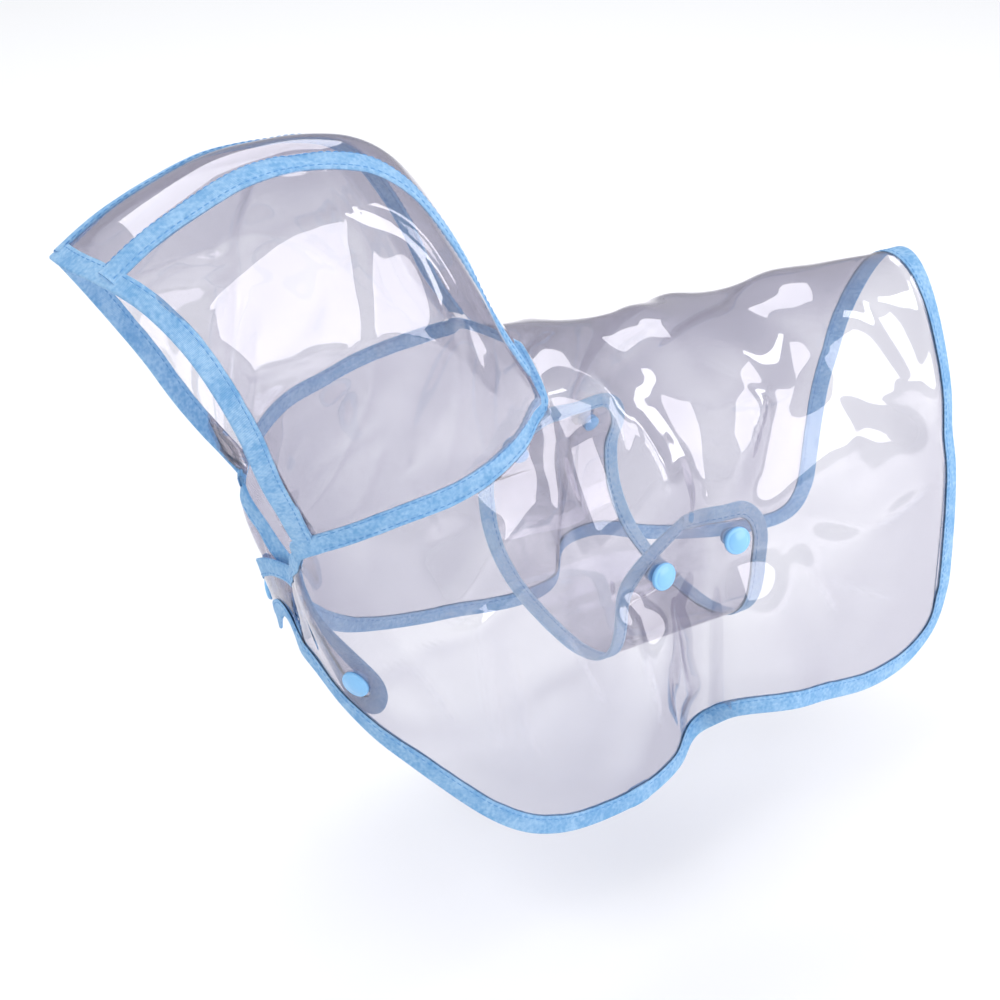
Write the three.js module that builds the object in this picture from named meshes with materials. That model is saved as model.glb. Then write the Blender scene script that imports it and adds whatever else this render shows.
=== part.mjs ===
// Clear dog raincoat with a hood, in its worn shape: a one-piece film cape whose two front arms cross on
// the chest, a three-piece film hood, blue tape on every edge and seam, a belly strap and press snaps.
// Millimetres. +Z is up, -X is toward the head, -Y is the wearer's left. The origin is on the inner side
// of the film at the withers, just behind the neck seam, where the wearer holds the coat up.

import * as THREE from 'three';

// Driving dimensions
const FILM = 1.0; // wall of the clear film
const TAPE = 2.2; // folded tape over the film, through all its layers
const HEM_TAPE_WIDTH = 8.5;
const NECK_TAPE_HALF = 4.5;
const CROWN_TAPE_OVER_STRIP = 3.0;
const CROWN_TAPE_OVER_SIDE = 5.5;
const CROWN_TAPE_LIFT = 0.6;
const CROWN_TAPE_START = 0.012; // shares of the seam where its tape starts and ends
const CROWN_TAPE_END = 0.955;
const FACE_TAPE_START = 0.05;
const STRAP_TAPE_WIDTH = 7.2;
const SEAM_GAP = 0.5;
const HEM_MARGIN = HEM_TAPE_WIDTH + SEAM_GAP; // the film stops this far short of a hem line
const LAYER = 1.7; // the crossed arms lie this far outside and inside of the chest line
const SNAP_DIAMETER = 12.4;
const SNAP_PRESS_DIAMETER = 8;
const SNAP_CAP = 2.2;
const SNAP_BACK = 1.8;
const SNAP_GAP = 0.9;
const LEFT = -1;
const RIGHT = 1;

// Mesh fineness
const ROWS_BELOW = 13; // shoulder to hem
const ROWS_ABOVE = 4; // ridge to shoulder
const HOOD_ROWS = 12;
const FACE_TAPE_STEPS = 20;
const CROWN_TAPE_STEPS = 28;
const STRAP_COLUMNS = 10;
const SNAP_SIDES = 14;

// Cape sections, one row for each section of one half, from the middle of the chest to the tail.
// top is where a section starts: the crossed edge, then the neck seam, then the shoulder line.
// heading: direction it leaves in (180 forward, 90 sideways); leave: degrees below level at the top;
// flare: degrees outward from plumb at the hem.
const SECTIONS = table('topX topOut topZ hemX hemOut hemZ heading leave flare', [
  [-118.5, 0, -73, -115.5, 0, -118, 180, 90, -4],
  [-124, 14, -60, -114, 12, -121, 168, 94, -6],
  [-128, 30, -44, -110.5, 30, -129, 150, 94, -8],
  [-113, 44, -34, -101, 49, -141, 132, 84, 0],
  [-95, 52, -27, -87, 65, -156, 115, 74, 6],
  [-74, 55, -23, -71, 78, -171, 102, 66, 8],
  [-56, 54, -18, -56, 84, -181, 95, 62, 9],
  [-38.5, 48, -12, -39, 86, -187, 92, 60, 9],
  [-23, 38, -5.5, -21, 85, -190, 90, 58, 8],
  [-5, 38, -12, -3, 82, -191, 90, 56, 7],
  [15, 38, -17, 17, 77, -191, 90, 54, 6],
  [32, 38, -20, 34, 72, -188, 90, 54, 5],
  [46, 38, -21, 46, 69, -180, 90, 54, 5],
  [58, 38, -21, 57, 78, -168, 90, 54, 8],
  [80, 38, -22, 79, 81, -169, 90, 54, 9],
  [105, 37, -23, 104, 78, -176, 90, 55, 8],
  [132, 36, -22, 133, 74, -183, 90, 56, 7],
  [158, 34, -24, 160, 67, -185, 90, 58, 5],
  [179, 32, -29, 181, 59, -181, 90, 61, 3],
  [190, 31, -34, 191, 55, -172, 90, 63, 2],
  [196, 30, -38, 196, 53, -156, 90, 65, 2],
]);
const THROAT_SECTION = 2;
const SHOULDER_SECTION = 8;
const TAIL_SECTION = 20;

// Line of the back, one row for each section from the shoulder to the tail
const RIDGE = table('x z', [
  [-14, 2],
  [-2, 1.5],
  [15, -1],
  [32, -3],
  [46, -3],
  [58, -2.5],
  [80, -6],
  [105, -8],
  [132, -4.5],
  [158, -6],
  [179, -6],
  [190, -5],
  [196, -4],
]);

// Middle line of an arm past the middle of the chest: distance round the chest, height, half width, and
// degrees that the arm is turned down. The last row is the centre of its rounded end.
const ARM = table('distance z half turn', [
  [9, -91.3, 17.2, 12],
  [18, -92.5, 13.8, 24],
  [29, -101, 13.5, 36],
  [40, -114, 14.5, 42],
]);
const ARM_SECTIONS = 4; // sections of the other half that an arm lies on

// The right half's front is drawn up under the left half's: share of the section that it loses
const RIGHT_RISE = [0.1, 0.11, 0.11, 0.08, 0.04, 0.01, 0];

// Largest folds, as lines on a half: ends in x, out and z, height (troughs are negative) and half width
const FOLDS = table('ax aOut az bx bOut bz height width', [
  [14, 64, -99, 70, 64, -95, -5.5, 28],
  [40, 66, -118, 48, 72, -182, -5, 14],
  [22, 66, -124, 4, 80, -178, 3.5, 14],
  [62, 66, -120, 86, 80, -166, 3, 15],
  [34, 58, -62, 6, 36, -12, 3, 11],
  [50, 56, -58, 44, 30, -10, -3, 11],
  [62, 56, -58, 80, 32, -12, 3, 11],
  [76, 58, -60, 116, 34, -14, -3, 12],
  [-4, 48, -24, 6, 66, -90, -3.5, 11],
  [-96, 48, -128, -34, 76, -112, 2.5, 12],
  [116, 40, -26, 186, 46, -76, -3, 12],
  [-76, 58, -40, -44, 78, -120, -3, 12],
]);

// Hood edges before the hood is turned on the neck, on one half
const FACE_EDGE = table('x out z', [
  [-128.3, 30, -42.8],
  [-148, 38, -7],
  [-159, 43, 18],
  [-171, 46, 42],
  [-182, 44, 62],
  [-192, 34, 77],
  [-200, 18, 85],
]);
const CROWN_SEAM = table('x out z', [
  [-36, 25, 29],
  [-45.6, 22, 52],
  [-56.4, 20, 73],
  [-69, 17, 91],
  [-82, 14, 101],
  [-98, 13, 106],
  [-114, 12, 108],
  [-136, 14, 108],
  [-160, 16, 102],
  [-180, 17, 95],
  [-200, 18, 85],
]);
const HOOD_FOLDS = table('au av bu bv height width', [
  [0.62, 0.98, 0.5, 0.45, 2.5, 0.07],
  [0.5, 0.45, 0.08, 0.62, -2, 0.07],
  [0.5, 0.45, 0.86, 0.5, 2, 0.07],
  [0.3, 0.95, 0.14, 0.4, -2, 0.08],
]);
const THROAT_CUT = 0.1; // the side panels stop this share short of the throat corner
const BRIM_FORWARD = 2.5;
const STRIP_RISE = 3;
const SIDE_SWELL = 8;
const HOOD_MIDDLE = new THREE.Vector3(-95, 0, 20);
const HOOD_PIVOT = new THREE.Vector3(-70, 0, -20);
const HOOD_YAW = THREE.MathUtils.degToRad(8);
const HOOD_ROLL = THREE.MathUtils.degToRad(-6);

// Belly strap: a sling from flank to flank with rounded ends
const STRAP_MIDDLE_X = 42;
const STRAP_HALF_WIDTH = 38;
const STRAP_END_RISE = 33;
const STRAP_END_LEAN = 0.4;
const STRAP_INSIDE = 5.6; // depth of its ends inside the cape
const STRAP_PATH = table('out z', [
  [61, -98],
  [61, -110],
  [57, -124],
  [45, -137],
  [25, -145],
  [0, -147],
]);

// Snaps: half, section and share of the section where each goes through the film
const SNAPS = [
  { name: 'flank_front', section: 10.5, share: 0.44, depth: STRAP_INSIDE },
  { name: 'flank_rear', section: 13.2, share: 0.45, depth: STRAP_INSIDE },
  { name: 'chest', section: 2.5, share: 0.745, depth: 2 * LAYER },
];

const COLOURS = { film: '#dcdfe8', tape: '#8fc6f2', snap: '#6fb2ee' };

// Rows of numbers as objects with named columns
function table(columns, rows) {
  const names = columns.split(' ');
  return rows.map((row) => Object.fromEntries(names.map((name, i) => [name, row[i]])));
}

// Smooth value through a list of numbers at a place counted in steps along it
function through(values, place) {
  const last = values.length - 1;
  const step = Math.min(Math.max(Math.floor(place), 0), last - 1);
  const w = place - step;
  const [b, c] = [values[step], values[step + 1]];
  const a = step > 0 ? values[step - 1] : 2 * b - c;
  const d = step + 1 < last ? values[step + 2] : 2 * c - b;
  const slopeB = (c - a) / 2;
  const slopeC = (d - b) / 2;
  const rise = c - b;
  return b + w * (slopeB + w * (3 * rise - 2 * slopeB - slopeC + w * (slopeB + slopeC - 2 * rise)));
}

function rowAt(rows, place) {
  const names = Object.keys(rows[0]);
  return Object.fromEntries(names.map((name) => [name, through(rows.map((row) => row[name]), place)]));
}

const acrossMiddle = (row) => ({
  ...row,
  topOut: -row.topOut,
  hemOut: -row.hemOut,
  heading: 360 - row.heading,
});
const MIRRORED_START = [acrossMiddle(SECTIONS[1]), ...SECTIONS];

// Point of the cut cape, before folds, as (x, out, z). share runs from 0 at the top to 1 at the hem,
// and from -1 at the ridge of the back to 0 at the shoulder line.
function cutPoint(section, share) {
  if (section < 0) {
    const other = cutPoint(-section, share);
    return other.setY(-other.y);
  }
  const row = rowAt(MIRRORED_START, section + 1);
  const heading = THREE.MathUtils.degToRad(row.heading);
  const leave = THREE.MathUtils.degToRad(row.leave);
  const flare = THREE.MathUtils.degToRad(row.flare);
  const level = new THREE.Vector3(Math.cos(heading), Math.sin(heading), 0);
  const falling = level.clone().multiplyScalar(Math.cos(leave)).setZ(-Math.sin(leave));
  const rising = level.clone().multiplyScalar(-Math.sin(flare)).setZ(Math.cos(flare));
  const top = new THREE.Vector3(row.topX, row.topOut, row.topZ);
  if (share < 0) {
    const back = rowAt(RIDGE, section - SHOULDER_SECTION);
    const ridge = new THREE.Vector3(back.x, 0, back.z);
    const bend = top.clone().addScaledVector(falling, -(ridge.z - top.z) / Math.sin(leave));
    return new THREE.QuadraticBezierCurve3(top, bend, ridge).getPoint(-share);
  }
  const hem = new THREE.Vector3(row.hemX, row.hemOut, row.hemZ);
  const reach = top.distanceTo(hem) * 0.36;
  const first = top.clone().addScaledVector(falling, reach);
  const second = hem.clone().addScaledVector(rising, reach);
  return new THREE.CubicBezierCurve3(top, first, second, hem).getPoint(share);
}

// Height of all folds at a point of the cut cape; the right side's are a little lower and further back
function foldHeight(side, point) {
  const lower = side === RIGHT ? 0.85 : 1;
  const drift = side === RIGHT ? 3 : 0;
  const nearest = new THREE.Vector3();
  return FOLDS.reduce((height, fold) => {
    const from = new THREE.Vector3(fold.ax + drift, fold.aOut, fold.az);
    const to = new THREE.Vector3(fold.bx + drift, fold.bOut, fold.bz);
    new THREE.Line3(from, to).closestPointToPoint(point, true, nearest);
    return height + lower * fold.height * Math.exp(-((nearest.distanceTo(point) / fold.width) ** 2));
  }, 0);
}

// Point and outward normal of the folded cape on one side, lifted off its middle surface
function capePoint(side, section, share, lift = 0) {
  if (section < 0) return capePoint(-side, -section, share, lift);
  const step = 0.02;
  const lowest = section < SHOULDER_SECTION - step ? 0 : -1;
  const after = Math.min(section + step, TAIL_SECTION);
  const along = cutPoint(after, share).sub(cutPoint(section - step, share));
  const down = cutPoint(section, Math.min(share + step, 1));
  down.sub(cutPoint(section, Math.max(share - step, lowest)));
  const normal = along.cross(down).normalize();
  const cut = cutPoint(section, share);
  const point = cut.clone().addScaledVector(normal, foldHeight(side, cut) + lift);
  const flip = new THREE.Vector3(1, side, 1);
  return { point: point.multiply(flip), normal: normal.multiply(flip) };
}

// The crossed arms part from each other, the left one outside
function layerAt(side, section) {
  const apart = 1 - THREE.MathUtils.smoothstep(section, THROAT_SECTION, THROAT_SECTION + 4);
  return -side * LAYER * apart;
}

// Share of the section at which it loses its lower edge
function hemShare(side, section) {
  const drawnUp = through(RIGHT_RISE, Math.min(section, RIGHT_RISE.length - 1));
  return side === RIGHT ? 1 - drawnUp : 1;
}

// Where a rising function passes a value
function solve(low, high, rising, value) {
  let [from, to] = [low, high];
  for (let round = 0; round < 18; round++) {
    const middle = (from + to) / 2;
    if (rising(middle) < value) from = middle;
    else to = middle;
  }
  return (from + to) / 2;
}

const evenly = (count, from = 0, to = 1) =>
  Array.from({ length: count + 1 }, (unused, i) => from + ((to - from) * i) / count);

const FRONT_PLACES = [0, 0.4, 0.8, 1.2, 1.6, ...evenly(12, THROAT_SECTION, SHOULDER_SECTION)];
const BACK_PLACES = [...evenly(20, SHOULDER_SECTION, SHOULDER_SECTION + 10), TAIL_SECTION];

const CHEST_DISTANCES = [0];
for (let section = 1; section <= ARM_SECTIONS; section++) {
  const step = cutPoint(section, 0.5).distanceTo(cutPoint(section - 1, 0.5));
  CHEST_DISTANCES.push(CHEST_DISTANCES[section - 1] + step);
}

// Point of an arm at a distance past the middle of the chest and a height, on the other half's form
function armPoint(side, distance, z) {
  const past = solve(0, ARM_SECTIONS, (place) => through(CHEST_DISTANCES, place), distance);
  const share = solve(0, 1, (place) => -cutPoint(-past, place).z, -z);
  return capePoint(side, -past, share, layerAt(side, 0));
}

// Columns of an arm from its rounded tip to the middle of the chest, their ends moved in by an inset
function armColumns(side, inset) {
  const start = { distance: 0, z: 0, half: 0, turn: 0 };
  const hem = cutPoint(0, hemShare(side, 0)).z;
  start.z = (SECTIONS[0].topZ + hem) / 2;
  start.half = (SECTIONS[0].topZ - hem) / 2;
  const rows = [start, ...ARM];
  const end = rows[rows.length - 1];
  const column = (row, roundAngle) => {
    const turn = THREE.MathUtils.degToRad(row.turn);
    const ahead = (row.half - inset) * Math.cos(roundAngle);
    const aside = (row.half - inset) * Math.sin(roundAngle);
    return evenly(ROWS_BELOW, aside, -aside).map((across) => {
      const distance = row.distance + ahead * Math.cos(turn) + across * Math.sin(turn);
      const z = row.z - ahead * Math.sin(turn) + across * Math.cos(turn);
      return armPoint(side, distance, z);
    });
  };
  const round = [18, 38, 56, 73].map((degrees) => column(end, THREE.MathUtils.degToRad(degrees)));
  const straight = evenly(2 * ARM.length, ARM.length, 0).slice(0, -1);
  return [...round, ...straight.map((place) => column(rowAt(rows, place), Math.PI / 2))];
}

// Unit vectors along the surface, square to an edge and away from it. edge is a list of samples with a
// point and a normal; turn is 1 or -1, the side of the edge on which the surface lies.
function facingIn(edge, turn, before = edge[0], after = edge[edge.length - 1]) {
  edge.forEach((sample, i) => {
    const previous = i > 0 ? edge[i - 1] : before;
    const next = i + 1 < edge.length ? edge[i + 1] : after;
    const tangent = next.point.clone().sub(previous.point);
    sample.inward = sample.normal.clone().cross(tangent).multiplyScalar(turn).normalize();
  });
}

// One half of the cape as two grids of samples, the front with its arm and the back, and its edges
function capeHalf(side) {
  const arm = armColumns(side, 0);
  const chest = FRONT_PLACES.map((section) => {
    const shares = evenly(ROWS_BELOW, 0, hemShare(side, section));
    return shares.map((share) => capePoint(side, section, share, layerAt(side, section)));
  });
  const front = [...arm, ...chest];
  const throat = arm.length + FRONT_PLACES.indexOf(THROAT_SECTION);
  const shoulder = front[front.length - 1];
  const back = BACK_PLACES.map((section, i) => {
    const above = evenly(ROWS_ABOVE, -1, 0).slice(0, -1);
    const upper = above.map((share) => capePoint(side, section, share));
    const lower = evenly(ROWS_BELOW).map((share) => capePoint(side, section, share));
    return [...upper, ...(i === 0 ? shoulder : lower)];
  });
  const tail = back[back.length - 1];
  const upperFront = front.slice(0, throat + 1).map((column) => column[0]).reverse();
  const besideNeck = front.slice(throat + 1).map((column) => column[0]).reverse();
  const neck = [...back[0].slice(0, ROWS_ABOVE), ...besideNeck];
  const hem = [
    ...upperFront,
    ...front.map((column) => column[ROWS_BELOW]),
    ...back.slice(1).map((column) => column[ROWS_ABOVE + ROWS_BELOW]),
    ...tail.slice(0, -1).reverse(),
  ];
  const across = (sample) => ({ point: sample.point.clone().multiply(new THREE.Vector3(1, -1, 1)) });
  const napeNeighbour = across(neck[1]);
  const tailNeighbour = across(hem[hem.length - 2]);
  facingIn([...neck, ...hem], -side, napeNeighbour, tailNeighbour);
  neck.forEach((sample) => (sample.margin = NECK_TAPE_HALF + SEAM_GAP));
  hem.forEach((sample) => (sample.margin = HEM_MARGIN));
  const armFilm = armColumns(side, HEM_MARGIN);
  arm.forEach((column, i) =>
    column.forEach((sample, j) => {
      sample.inward = armFilm[i][j].point.clone().sub(sample.point).divideScalar(HEM_MARGIN);
      sample.margin = HEM_MARGIN;
    }),
  );
  return { side, front, back, neck, hem };
}

// Moves the film's edge in from the taped edge, and the points between two edges by their share
const movedIn = (sample) => sample.point.clone().addScaledVector(sample.inward, sample.margin);

function betweenEdges(column, first, last) {
  const count = column.length - 1;
  return column.map((sample, i) => {
    const point = sample.point.clone();
    if (first) point.addScaledVector(first.inward, first.margin * (1 - i / count));
    return point.addScaledVector(last.inward, (last.margin * i) / count);
  });
}

function capeFilm(halves) {
  const patches = halves.flatMap((half) => {
    const front = half.front.map((column) =>
      column[1].inward ? column.map(movedIn) : betweenEdges(column, column[0], column[ROWS_BELOW]),
    );
    const back = half.back.map((column, i) => {
      if (column[1].inward && i > 0) return column.map(movedIn);
      const upper = column.slice(0, ROWS_ABOVE).map((sample) => (i === 0 ? movedIn(sample) : sample.point));
      const lower = column.slice(ROWS_ABOVE);
      return [...upper, ...betweenEdges(lower, i === 0 ? lower[0] : null, lower[ROWS_BELOW])];
    });
    return half.side === LEFT ? [front, back] : [front.reverse(), back.reverse()];
  });
  return wallOf(patches, FILM);
}

// A closed wall of even thickness about surface patches. A patch is a grid of points; patches that share
// edge points are joined. Both faces follow the joined surface's normals, and open edges are closed.
function wallOf(patches, thickness) {
  const points = [];
  const indexByPlace = new Map();
  const indexOf = (point) => {
    const place = point.toArray().map((value) => Math.round(value * 1000)).join();
    if (!indexByPlace.has(place)) {
      indexByPlace.set(place, points.length);
      points.push(point);
    }
    return indexByPlace.get(place);
  };
  const faces = [];
  for (const patch of patches) {
    const grid = patch.map((row) => row.map(indexOf));
    for (let i = 0; i + 1 < grid.length; i++) {
      for (let j = 0; j + 1 < grid[i].length; j++) {
        const [a, b, c, d] = [grid[i][j], grid[i + 1][j], grid[i + 1][j + 1], grid[i][j + 1]];
        faces.push([a, b, c], [a, c, d]);
      }
    }
  }
  const normals = points.map(() => new THREE.Vector3());
  const edges = new Map();
  for (const [a, b, c] of faces) {
    const square = points[b].clone().sub(points[a]).cross(points[c].clone().sub(points[a]));
    for (const index of [a, b, c]) normals[index].add(square);
    for (const [from, to] of [[a, b], [b, c], [c, a]]) {
      if (!edges.delete(`${to},${from}`)) edges.set(`${from},${to}`, [from, to]);
    }
  }
  const half = thickness / 2;
  normals.forEach((normal) => normal.normalize());
  const outer = points.map((point, i) => point.clone().addScaledVector(normals[i], half));
  const inner = points.map((point, i) => point.clone().addScaledVector(normals[i], -half));
  const count = points.length;
  const triangles = faces.flatMap(([a, b, c]) => [a, b, c, a + count, c + count, b + count]);
  for (const [from, to] of edges.values()) {
    triangles.push(from, from + count, to + count, from, to + count, to);
  }
  const geometry = new THREE.BufferGeometry();
  const positions = [...outer, ...inner].flatMap((point) => point.toArray());
  geometry.setAttribute('position', new THREE.Float32BufferAttribute(positions, 3));
  geometry.setIndex(triangles);
  geometry.computeVertexNormals();
  return geometry;
}

// Tape folded over an edge: its rows run in from the edge along the surface
function edgeTape(samples, width) {
  const rows = samples.map(({ point, inward }) =>
    evenly(2).map((share) => point.clone().addScaledVector(inward, width * share)),
  );
  return wallOf([rows], TAPE);
}

const NECK_UP = new THREE.Vector3(-0.25, 0, 1).normalize();
const towardHood = (sample, distance) => sample.point.clone().addScaledVector(NECK_UP, distance);

// Tape over the neck seam, its lower half on the cape and its upper half on the hood
function neckTape(halves) {
  const rows = halves.flatMap((half) => {
    const list = [...half.neck, half.hem[0]].map((sample) => [
      towardHood(sample, NECK_TAPE_HALF),
      sample.point,
      sample.point.clone().addScaledVector(sample.inward, NECK_TAPE_HALF),
    ]);
    return half.side === LEFT ? list.reverse() : list.slice(1);
  });
  return wallOf([rows], TAPE);
}

const fromTable = (row) => new THREE.Vector3(row.x, row.out, row.z);
const onSide = (side, point) => point.clone().setY(side * point.y);

// A surface between four edge curves that meet at its corners: u runs along bottom and top
function between(left, right, bottom, top) {
  const corner = (curve, place) => curve.getPointAt(place);
  return (u, v) => {
    const point = bottom.getPointAt(u).multiplyScalar(1 - v).addScaledVector(top.getPointAt(u), v);
    point.addScaledVector(left.getPointAt(v), 1 - u).addScaledVector(right.getPointAt(v), u);
    point.addScaledVector(corner(bottom, 0), -(1 - u) * (1 - v)).addScaledVector(corner(bottom, 1), -u * (1 - v));
    return point.addScaledVector(corner(top, 0), -(1 - u) * v).addScaledVector(corner(top, 1), -u * v);
  };
}

// The hood turns on the neck: not at all at the seam, fully at the brim
function turned(point, weight) {
  const arm = point.clone().sub(HOOD_PIVOT);
  arm.applyAxisAngle(new THREE.Vector3(1, 0, 0), HOOD_ROLL * weight);
  return arm.applyAxisAngle(new THREE.Vector3(0, 0, 1), HOOD_YAW * weight).add(HOOD_PIVOT);
}

// Unit vector on a surface, square to its edge at (u, v), pointing in; inU and inV say which way is in
function squareIn(surface, u, v, inU, inV) {
  const step = 0.03;
  const at = (a, b) => surface(THREE.MathUtils.clamp(a, 0, 1), THREE.MathUtils.clamp(b, 0, 1));
  const inside = at(u + inU * step, v + inV * step).sub(surface(u, v));
  const edge = inU !== 0 ? at(u, v + step).sub(at(u, v - step)) : at(u + step, v).sub(at(u - step, v));
  edge.normalize();
  return inside.addScaledVector(edge, -inside.dot(edge)).normalize();
}

// Step that carries a panel's edge in by one unit while its ends keep to the neighbouring edges
function slideIn(surface, u, v, inU, inV) {
  const step = 0.03;
  const along = surface(u + inU * step, v + inV * step).sub(surface(u, v)).normalize();
  return along.divideScalar(along.dot(squareIn(surface, u, v, inU, inV)));
}

// Hood edges of one half as curves of (x, out, z), before the hood is turned
const NECK_FOOT = ROWS_ABOVE / 2; // the crown seam meets the neck halfway from the shoulder to the nape
const hoodFoot = (sample) => towardHood(sample, NECK_TAPE_HALF + SEAM_GAP);
const FACE_CURVE = new THREE.CatmullRomCurve3(FACE_EDGE.map(fromTable));

function sideSurface(half) {
  const seam = half.neck.slice(NECK_FOOT).reverse();
  const neck = new THREE.CatmullRomCurve3(seam.map((sample) => onSide(half.side, hoodFoot(sample))));
  const facePoints = evenly(FACE_EDGE.length * 2, THROAT_CUT, 1).map((place) => FACE_CURVE.getPointAt(place));
  const face = new THREE.CatmullRomCurve3(facePoints);
  const crown = crownCurve(half);
  const throat = new THREE.LineCurve3(neck.getPointAt(0), face.getPointAt(0));
  const flat = between(neck, face, throat, crown);
  return (u, v) => {
    const point = flat(u, v);
    const middle = Math.sin(Math.PI * u) * Math.sin(Math.PI * v);
    const fold = hoodFold(half.side, u, v);
    point.y += SIDE_SWELL * middle + fold * Math.sqrt(Math.abs(middle));
    return onSide(half.side, point);
  };
}

function crownCurve(half) {
  const foot = onSide(half.side, hoodFoot(half.neck[NECK_FOOT]));
  return new THREE.CatmullRomCurve3([foot, ...CROWN_SEAM.map(fromTable)]);
}

// Folds of a side panel, as lines in its own shares from the neck (u) and from the throat (v)
function hoodFold(side, u, v) {
  const lower = side === RIGHT ? 0.8 : 1;
  return HOOD_FOLDS.reduce((height, fold) => {
    const along = new THREE.Line3(new THREE.Vector3(fold.au, fold.av, 0), new THREE.Vector3(fold.bu, fold.bv, 0));
    const point = new THREE.Vector3(u, v, 0);
    const nearest = along.closestPointToPoint(point, true, new THREE.Vector3());
    return height + lower * fold.height * Math.exp(-((nearest.distanceTo(point) / fold.width) ** 2));
  }, 0);
}

function crownSurface(halves) {
  const [left, right] = halves;
  const seam = (half) => {
    const curve = crownCurve(half);
    const points = evenly(CROWN_SEAM.length * 2).map((place) => onSide(half.side, curve.getPointAt(place)));
    return new THREE.CatmullRomCurve3(points);
  };
  const bottom = seam(left);
  const top = seam(right);
  const upTo = NECK_FOOT + 1;
  const napeSamples = [...left.neck.slice(0, upTo).reverse(), ...right.neck.slice(1, upTo)];
  const nape = new THREE.CatmullRomCurve3(napeSamples.map(hoodFoot));
  const [near, far] = [bottom.getPointAt(1), top.getPointAt(1)];
  const brimMiddle = near.clone().lerp(far, 0.5).add(new THREE.Vector3(-BRIM_FORWARD, 0, BRIM_FORWARD / 2));
  const brim = new THREE.CatmullRomCurve3([near, brimMiddle, far]);
  const flat = between(nape, brim, bottom, top);
  return (u, v) => {
    const point = flat(u, v);
    const away = point.clone().sub(HOOD_MIDDLE).setY(0).normalize();
    return point.addScaledVector(away, STRIP_RISE * Math.sin(Math.PI * v) * Math.sin(Math.PI * u));
  };
}

// A hood panel: its film stops short of each taped edge by a margin, and turns with the hood
function hoodFilm(surface, columns, rows, margins, weight) {
  const patch = evenly(columns).map((u) =>
    evenly(rows).map((v) => {
      const point = surface(u, v);
      if (margins.face) point.addScaledVector(slideIn(surface, 1, v, -1, 0), margins.face * u);
      if (margins.low) point.addScaledVector(slideIn(surface, u, 0, 0, 1), margins.low * (1 - v));
      if (margins.high) point.addScaledVector(slideIn(surface, u, 1, 0, -1), margins.high * v);
      return turned(point, weight(u, v));
    }),
  );
  return wallOf([patch], FILM);
}

// Tape round the face opening: up one side, across the brim and down the other
function faceTape(sides, crown) {
  const lay = (point, inward, weight) =>
    evenly(2).map((share) => turned(point.clone().addScaledVector(inward, HEM_TAPE_WIDTH * share), weight));
  const sideRows = (side, surface) =>
    evenly(FACE_TAPE_STEPS, FACE_TAPE_START, 1).slice(0, -1).map((place) => {
      const v = Math.max((place - THROAT_CUT) / (1 - THROAT_CUT), 0);
      return lay(onSide(side, FACE_CURVE.getPointAt(place)), squareIn(surface, 1, v, -1, 0), v);
    });
  const corner = (surface, v) => {
    const inward = squareIn(surface, 1, 1, -1, 0).add(squareIn(crown, 1, v, -1, 0)).normalize();
    return lay(crown(1, v), inward, 1);
  };
  const brim = evenly(6).slice(1, -1).map((v) => lay(crown(1, v), squareIn(crown, 1, v, -1, 0), 1));
  const rows = [
    ...sideRows(LEFT, sides[0]),
    corner(sides[0], 0),
    ...brim,
    corner(sides[1], 1),
    ...sideRows(RIGHT, sides[1]).reverse(),
  ];
  return wallOf([rows], TAPE);
}

// Tape over a crown seam, folded down mostly on the side panel
function crownTape(surface, crown, v) {
  const inStrip = v === 0 ? 1 : -1;
  const rows = evenly(CROWN_TAPE_STEPS, CROWN_TAPE_START, CROWN_TAPE_END).map((u) => {
    const seam = surface(u, 1);
    const overStrip = squareIn(crown, u, v, 0, inStrip);
    const overSide = squareIn(surface, u, 1, 0, -1);
    const raised = overStrip.clone().add(overSide).normalize().multiplyScalar(-CROWN_TAPE_LIFT);
    const row = [
      seam.clone().addScaledVector(overStrip, CROWN_TAPE_OVER_STRIP),
      seam.clone().add(raised),
      seam.clone().addScaledVector(overSide, CROWN_TAPE_OVER_SIDE),
    ];
    return row.map((point) => turned(point, u));
  });
  return wallOf([rows], TAPE);
}

// Place on the inside of a flank that has a given x and z
function flankPoint(side, x, z) {
  let section = SHOULDER_SECTION + 4;
  let share = 0.5;
  for (let round = 0; round < 2; round++) {
    section = solve(SHOULDER_SECTION, TAIL_SECTION, (place) => cutPoint(place, share).x, x);
    share = solve(0, 1, (place) => -cutPoint(section, place).z, -z);
  }
  return capePoint(side, section, share, -STRAP_INSIDE).point;
}

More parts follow.
